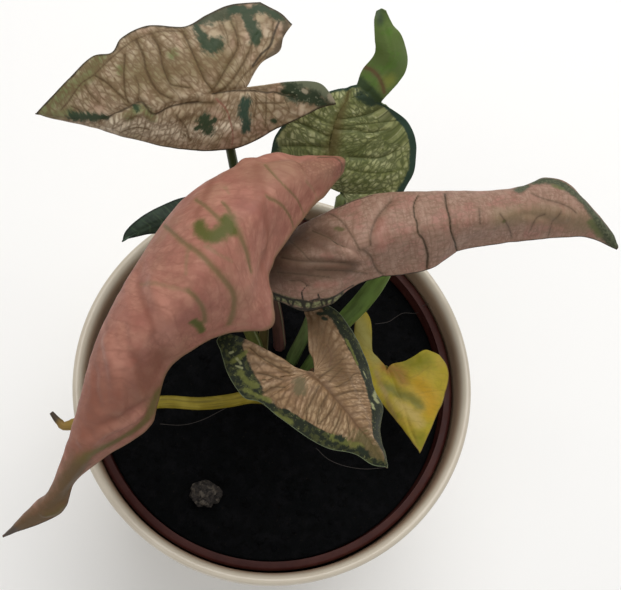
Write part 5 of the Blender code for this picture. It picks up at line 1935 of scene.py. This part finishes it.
def nursery_profile():
    """The thin wall of the nursery pot, its band and its rounded rim."""
    top = POT_HEIGHT - NURSERY_RIM_DEPTH
    band = top - NURSERY_BAND
    base = FLOOR_THICKNESS + GAP
    rim = arc((NURSERY_RIM_RADIUS - NURSERY_CHAMFER, top - NURSERY_CHAMFER), NURSERY_CHAMFER,
              0, 90, 6)
    outside = [(0, base), (NURSERY_FOOT_RADIUS, base), (NURSERY_TOP_RADIUS, band),
               (NURSERY_RIM_RADIUS - NURSERY_BAND_LEAN, band)] + rim
    inside = [(NURSERY_RIM_INSIDE, top), (NURSERY_RIM_INSIDE - NURSERY_TAPER, band + NURSERY_WALL),
              (NURSERY_TOP_RADIUS - NURSERY_WALL, band - NURSERY_STEP),
              (NURSERY_FOOT_RADIUS - NURSERY_WALL, base + NURSERY_WALL), (0, base + NURSERY_WALL)]
    return outside + inside


print("the nursery pot is", 2 * NURSERY_RIM_RADIUS, "mm across")

# %% The nursery pot's plastic
CLEAN_ROUGHNESS, DUSTY_ROUGHNESS = 0.4, 0.65
MOULD_GRAIN, MOULD_DEPTH = 0.8, 0.03


def maroon_plastic():
    """Polypropylene in a maroon brown, with a thin veil of dried water and dust."""
    skin = new_skin("moulded_polypropylene_maroon", IOR=1.49, Specular_IOR_Level=0.15)
    dust = patches(skin, 4, 0.45, 0.75, 5.0)
    lay_over(skin, "391814", [
        ("482520", 1, patches, 18, 0.4, 0.7),
        ("57382F", 0.3, dust),
    ])
    rough = add(skin, "ShaderNodeMapRange", None,
                {"Value": dust, "To Min": CLEAN_ROUGHNESS, "To Max": DUSTY_ROUGHNESS})
    feed(skin, "Roughness", rough.outputs[0])
    grain = add(skin, "ShaderNodeTexNoise", None,
                {"Vector": skin.where, "Scale": 1 / (MOULD_GRAIN * MM), "Detail": 2.0})
    bump = add(skin, "ShaderNodeBump", None,
               {"Strength": 0.6, "Distance": MOULD_DEPTH * MM, "Height": grain.outputs[0]})
    feed(skin, "Normal", bump.outputs[0])
    return skin.finish


plastic = maroon_plastic()
print("plastic:", plastic.name)

# %% Drain holes, and the nursery pot
DRAIN_RADIUS = 4.0
DRAIN_RING = 30.0
DRAIN_COUNT = 6
DRAIN_SIDES = 32
SHARP_ANGLE = 35

cutter_bm = bmesh.new()
for hole in range(DRAIN_COUNT):
    turn = 2 * math.pi * hole / DRAIN_COUNT
    at = Vector((NURSERY_CENTRE[0] + DRAIN_RING * math.cos(turn),
                 NURSERY_CENTRE[1] + DRAIN_RING * math.sin(turn), FLOOR_THICKNESS)) * MM
    bmesh.ops.create_cone(cutter_bm, cap_ends=True, segments=DRAIN_SIDES,
                          radius1=DRAIN_RADIUS * MM, radius2=DRAIN_RADIUS * MM,
                          depth=4 * NURSERY_WALL * MM, matrix=Matrix.Translation(at))
cutter = show("drain holes", to_mesh("drain holes", cutter_bm))
shell = show("shell", to_mesh("shell", turned(nursery_profile(), NURSERY_CENTRE)))
cut = shell.modifiers.new("drain holes", "BOOLEAN")
cut.object = cutter
settled = bpy.context.evaluated_depsgraph_get()
nursery_mesh = bpy.data.meshes.new_from_object(shell.evaluated_get(settled))
bpy.data.objects.remove(shell)
bpy.data.objects.remove(cutter)
nursery_mesh.materials.append(plastic)
nursery_mesh.shade_smooth()
nursery_mesh.set_sharp_from_angle(angle=math.radians(SHARP_ANGLE))
dress(show("maroon_nursery_pot", nursery_mesh), "nursery_pot")

# %% [markdown]
# The soil is damp dark peat. Its top is displaced in three sizes of lumps at once, and loose
# crumbs lie on it. Displacing the mesh, rather than using bump alone, lets the soil meet the
# stems and the pot in an uneven line.

# %% The soil
# Each kind of lump has its size and its height in millimetres
SOIL_LUMPS = ((9.0, 1.1), (2.6, 0.7), (1.1, 0.35))
SOIL_TOP = POT_HEIGHT - SOIL_DEPTH
SOIL_RING_STEP = 0.8
SOIL_EDGE = 61.5
SOIL_EDGE_CALM = 3.0
SOIL_EDGE_SHARE = 0.2
SOIL_LEDGE_DEPTH = 1.3


def soil_height(spot):
    """How far the soil's top lies below its highest level at a place, in millimetres."""
    reach = math.hypot(spot.x / MM - NURSERY_CENTRE[0], spot.y / MM - NURSERY_CENTRE[1])
    calm = min(1.0, SOIL_EDGE_SHARE + (SOIL_EDGE - reach) / SOIL_EDGE_CALM)
    return calm * sum(abs(noise.noise(spot / (size * MM))) * high for size, high in SOIL_LUMPS)


def soil_profile():
    """The plug: tapered side, flat base, and a top that covers the ledge of the pot's band."""
    base = FLOOR_THICKNESS + NURSERY_WALL + 2 * GAP
    band = POT_HEIGHT - NURSERY_RIM_DEPTH - NURSERY_BAND
    wide = NURSERY_TOP_RADIUS - NURSERY_WALL - GAP
    narrow = NURSERY_FOOT_RADIUS - NURSERY_WALL - GAP
    side = [(0, base), (narrow, base), (wide, band - NURSERY_STEP),
            (SOIL_EDGE, SOIL_TOP - SOIL_LEDGE_DEPTH)]
    rings = [(SOIL_EDGE - SOIL_RING_STEP * i, SOIL_TOP)
             for i in range(int(SOIL_EDGE / SOIL_RING_STEP))]
    return side + rings + [(0, SOIL_TOP)]


print("the soil lies", SOIL_DEPTH, "mm under the lip")

# %% The plug of peat
TOP_TOLERANCE = 0.5
PEAT_GRAIN, PEAT_DEPTH = 0.9, 0.5


def peat():
    """Damp dark peat with a few paler fibres and grains."""
    skin = new_skin("damp_peat", IOR=1.4, Specular_IOR_Level=0.12, Roughness=0.8)
    lay_over(skin, "050607", [
        ("0C0C0E", 1, patches, 5, 0.45, 0.65),
        ("020202", 1, patches, 2.2, 0.5, 0.7),
        ("262019", 0.7, patches, 0.9, 0.66, 0.74),
    ])
    grain = add(skin, "ShaderNodeTexNoise", None,
                {"Vector": skin.where, "Scale": 1 / (PEAT_GRAIN * MM), "Detail": 6.0,
                 "Roughness": 0.7})
    bump = add(skin, "ShaderNodeBump", None,
               {"Strength": 1.0, "Distance": PEAT_DEPTH * MM, "Height": grain.outputs[0]})
    feed(skin, "Normal", bump.outputs[0])
    return skin.finish


peat_finish = peat()
soil_bm = turned(soil_profile(), NURSERY_CENTRE)
for vert in soil_bm.verts:
    if vert.co.z > (SOIL_TOP - TOP_TOLERANCE) * MM:
        vert.co.z -= soil_height(vert.co) * MM
dress(rounded("peat_plug", soil_bm, peat_finish), "potting_soil")

# %% Loose crumbs on the soil
CRUMBS = 380
CRUMB_SIZES = (0.5, 1.7)
CRUMB_SHRINK = (0.6, 1.0)
CRUMB_REACH = 58
CRUMB_ROUGHNESS = 0.5
CRUMB_FLATNESS = 0.6
CRUMB_SEED = 7

crumb_random = random.Random(CRUMB_SEED)
crumb_bm = bmesh.new()
for _ in range(CRUMBS):
    reach = CRUMB_REACH * math.sqrt(crumb_random.random())
    turn = crumb_random.uniform(0, 2 * math.pi)
    size = crumb_random.uniform(*CRUMB_SIZES) * crumb_random.uniform(*CRUMB_SHRINK)
    at = Vector((NURSERY_CENTRE[0] + reach * math.cos(turn),
                 NURSERY_CENTRE[1] + reach * math.sin(turn), SOIL_TOP)) * MM
    at.z -= soil_height(at) * MM
    crumb = bmesh.ops.create_icosphere(crumb_bm, subdivisions=1, radius=size * MM)
    for vert in crumb["verts"]:
        bulge = noise.noise(vert.co / MM + Vector((turn, reach, size)))
        vert.co *= 1 + CRUMB_ROUGHNESS * bulge
        vert.co.z *= CRUMB_FLATNESS
        vert.co += at
crumb_mesh = to_mesh("crumbs", crumb_bm)
crumb_mesh.materials.append(peat_finish)
dress(show("soil_crumbs", crumb_mesh), None)

# %% [markdown]
# A few hair-thin fibres of coir lie on the peat, and one has caught on the rim of the nursery
# pot. Each is a very thin tube through places in the picture, with a height for each place. Hair
# curves would be lighter, but they don't survive an export.

# %% Fibres on the soil
FIBRES = [
    [(375, 324, -14.2), (388, 322, -14.0), (396, 317, -14.2), (404, 313, -14.0), (417, 313, -13.6),
     (423, 306, -8.6), (430, 303, -8.5), (437, 299, -7.0)],
    [(160, 424, -14.3), (182, 425, -14.1), (202, 420, -14.3), (224, 409, -14.2), (244, 399, -14.3)],
    [(316, 448, -14.2), (328, 459, -14.1), (345, 466, -14.3), (366, 469, -14.2), (388, 467, -14.3)],
]
FIBRE_RADIUS = 0.1
FIBRE_STEPS = 48


def place_at_height(pixel, height):
    """The point that a pixel shows at a height in millimetres from the lip."""
    sight = line_of_sight(pixel)
    return CAMERA_AT + sight * (((POT_HEIGHT + height) * MM - CAMERA_AT.z) / sight.z)


fibre_bm = bmesh.new()
for fibre in FIBRES:
    path = even_points([place_at_height((x, y), height) for x, y, height in fibre], FIBRE_STEPS)
    add_tube(fibre_bm, path, [FIBRE_RADIUS] * len(path), 6)
coir = plain_skin("coir_fibre_grey", Base_Color=linear("423C38"), IOR=1.4, Roughness=0.7)
dress(rounded("coir_fibres", fibre_bm, coir.finish), None)

# %% [markdown]
# One lump of perlite has worked its way up to the surface. It is a puffed volcanic grain, grey
# with dirt, and broken rather than round.

# %% The lump of perlite
LUMP_AT = (-12.5, -43.5)
LUMP_SIZE = (5.2, 4.4, 3.2)
LUMP_FLAT = 0.55
LUMP_ROUGHNESS = 0.25
LUMP_GRAIN = 2.3
LUMP_PITS = 0.06
LUMP_PIT_GRAIN = 7
PIT_SIZE, PIT_DEPTH = 0.7, 0.3


def perlite():
    """Expanded perlite, stained by peat: chalky, pitted and matt."""
    skin = new_skin("expanded_perlite_stained", IOR=1.4, Roughness=0.9)
    lay_over(skin, "302B27", [
        ("544D44", 1, patches, 2.4, 0.5, 0.62),
        ("181513", 1, patches, 1.3, 0.5, 0.64),
    ])
    pits = add(skin, "ShaderNodeTexVoronoi", None,
               {"Vector": skin.where, "Scale": 1 / (PIT_SIZE * MM)})
    bump = add(skin, "ShaderNodeBump", None,
               {"Strength": 1.0, "Distance": PIT_DEPTH * MM, "Height": pits.outputs["Distance"]})
    feed(skin, "Normal", bump.outputs[0])
    return skin.finish


lump_bm = bmesh.new()
bmesh.ops.create_icosphere(lump_bm, subdivisions=5, radius=1.0)
lump_floor = SOIL_TOP + GAP
lump_flat = LUMP_FLAT * LUMP_SIZE[2]
for vert in lump_bm.verts:
    swell = 1 + LUMP_ROUGHNESS * noise.noise(vert.co * LUMP_GRAIN)
    swell += LUMP_PITS * noise.noise(vert.co * LUMP_PIT_GRAIN)
    spot = Vector([c * s * swell for c, s in zip(vert.co, LUMP_SIZE)])
    height = lump_floor + lump_flat + max(spot.z, -lump_flat)
    vert.co = Vector((LUMP_AT[0] + spot.x, LUMP_AT[1] + spot.y, height)) * MM
dress(rounded("perlite_grain", lump_bm, perlite()), "perlite_lump")

# %% [markdown]
# The picture was taken in soft light from above and behind, so whatever faces the front is a
# little darker. The scene has a wide key light high at the back, a much weaker one at the front,
# and a pale world for the rest. The Standard view keeps the colours as they were written.

# %% Floor and light
FLOOR_SIZE = 3.0
KEY = {"at": (0.05, 0.6, 1.1), "size": 1.1, "power": 11.0}
FILL = {"at": (-0.4, -0.9, 1.0), "size": 1.2, "power": 3.0}
LIGHT_TARGET = Vector((0, 0, POT_HEIGHT * MM))
SKY = 0.46


def soft_light(name, at, size, power):
    """A square area light that points at the middle of the pot's lip."""
    light = bpy.data.lights.new(name, "AREA")
    light.size = size
    light.energy = power
    lamp = bpy.data.objects.new(name, light)
    lamp.location = at
    lamp.rotation_euler = (Vector(at) - LIGHT_TARGET).to_track_quat("Z", "Y").to_euler()
    bpy.context.scene.collection.objects.link(lamp)


soft_light("key light", **KEY)
soft_light("fill light", **FILL)

world = bpy.data.worlds.new("pale room")
world.use_nodes = True
world.node_tree.nodes["Background"].inputs["Color"].default_value = linear("FFFFFF")
world.node_tree.nodes["Background"].inputs["Strength"].default_value = SKY
bpy.context.scene.world = world
bpy.context.scene.view_settings.view_transform = "Standard"

floor_bm = bmesh.new()
bmesh.ops.create_grid(floor_bm, x_segments=1, y_segments=1, size=FLOOR_SIZE / 2)
floor_mesh = to_mesh("floor", floor_bm)
table = plain_skin("painted_table_white", Base_Color=linear("F6F5F3"), Roughness=0.6)
floor_mesh.materials.append(table.finish)
floor = show("floor", floor_mesh)
print("two soft lights over a floor of", FLOOR_SIZE, "m")
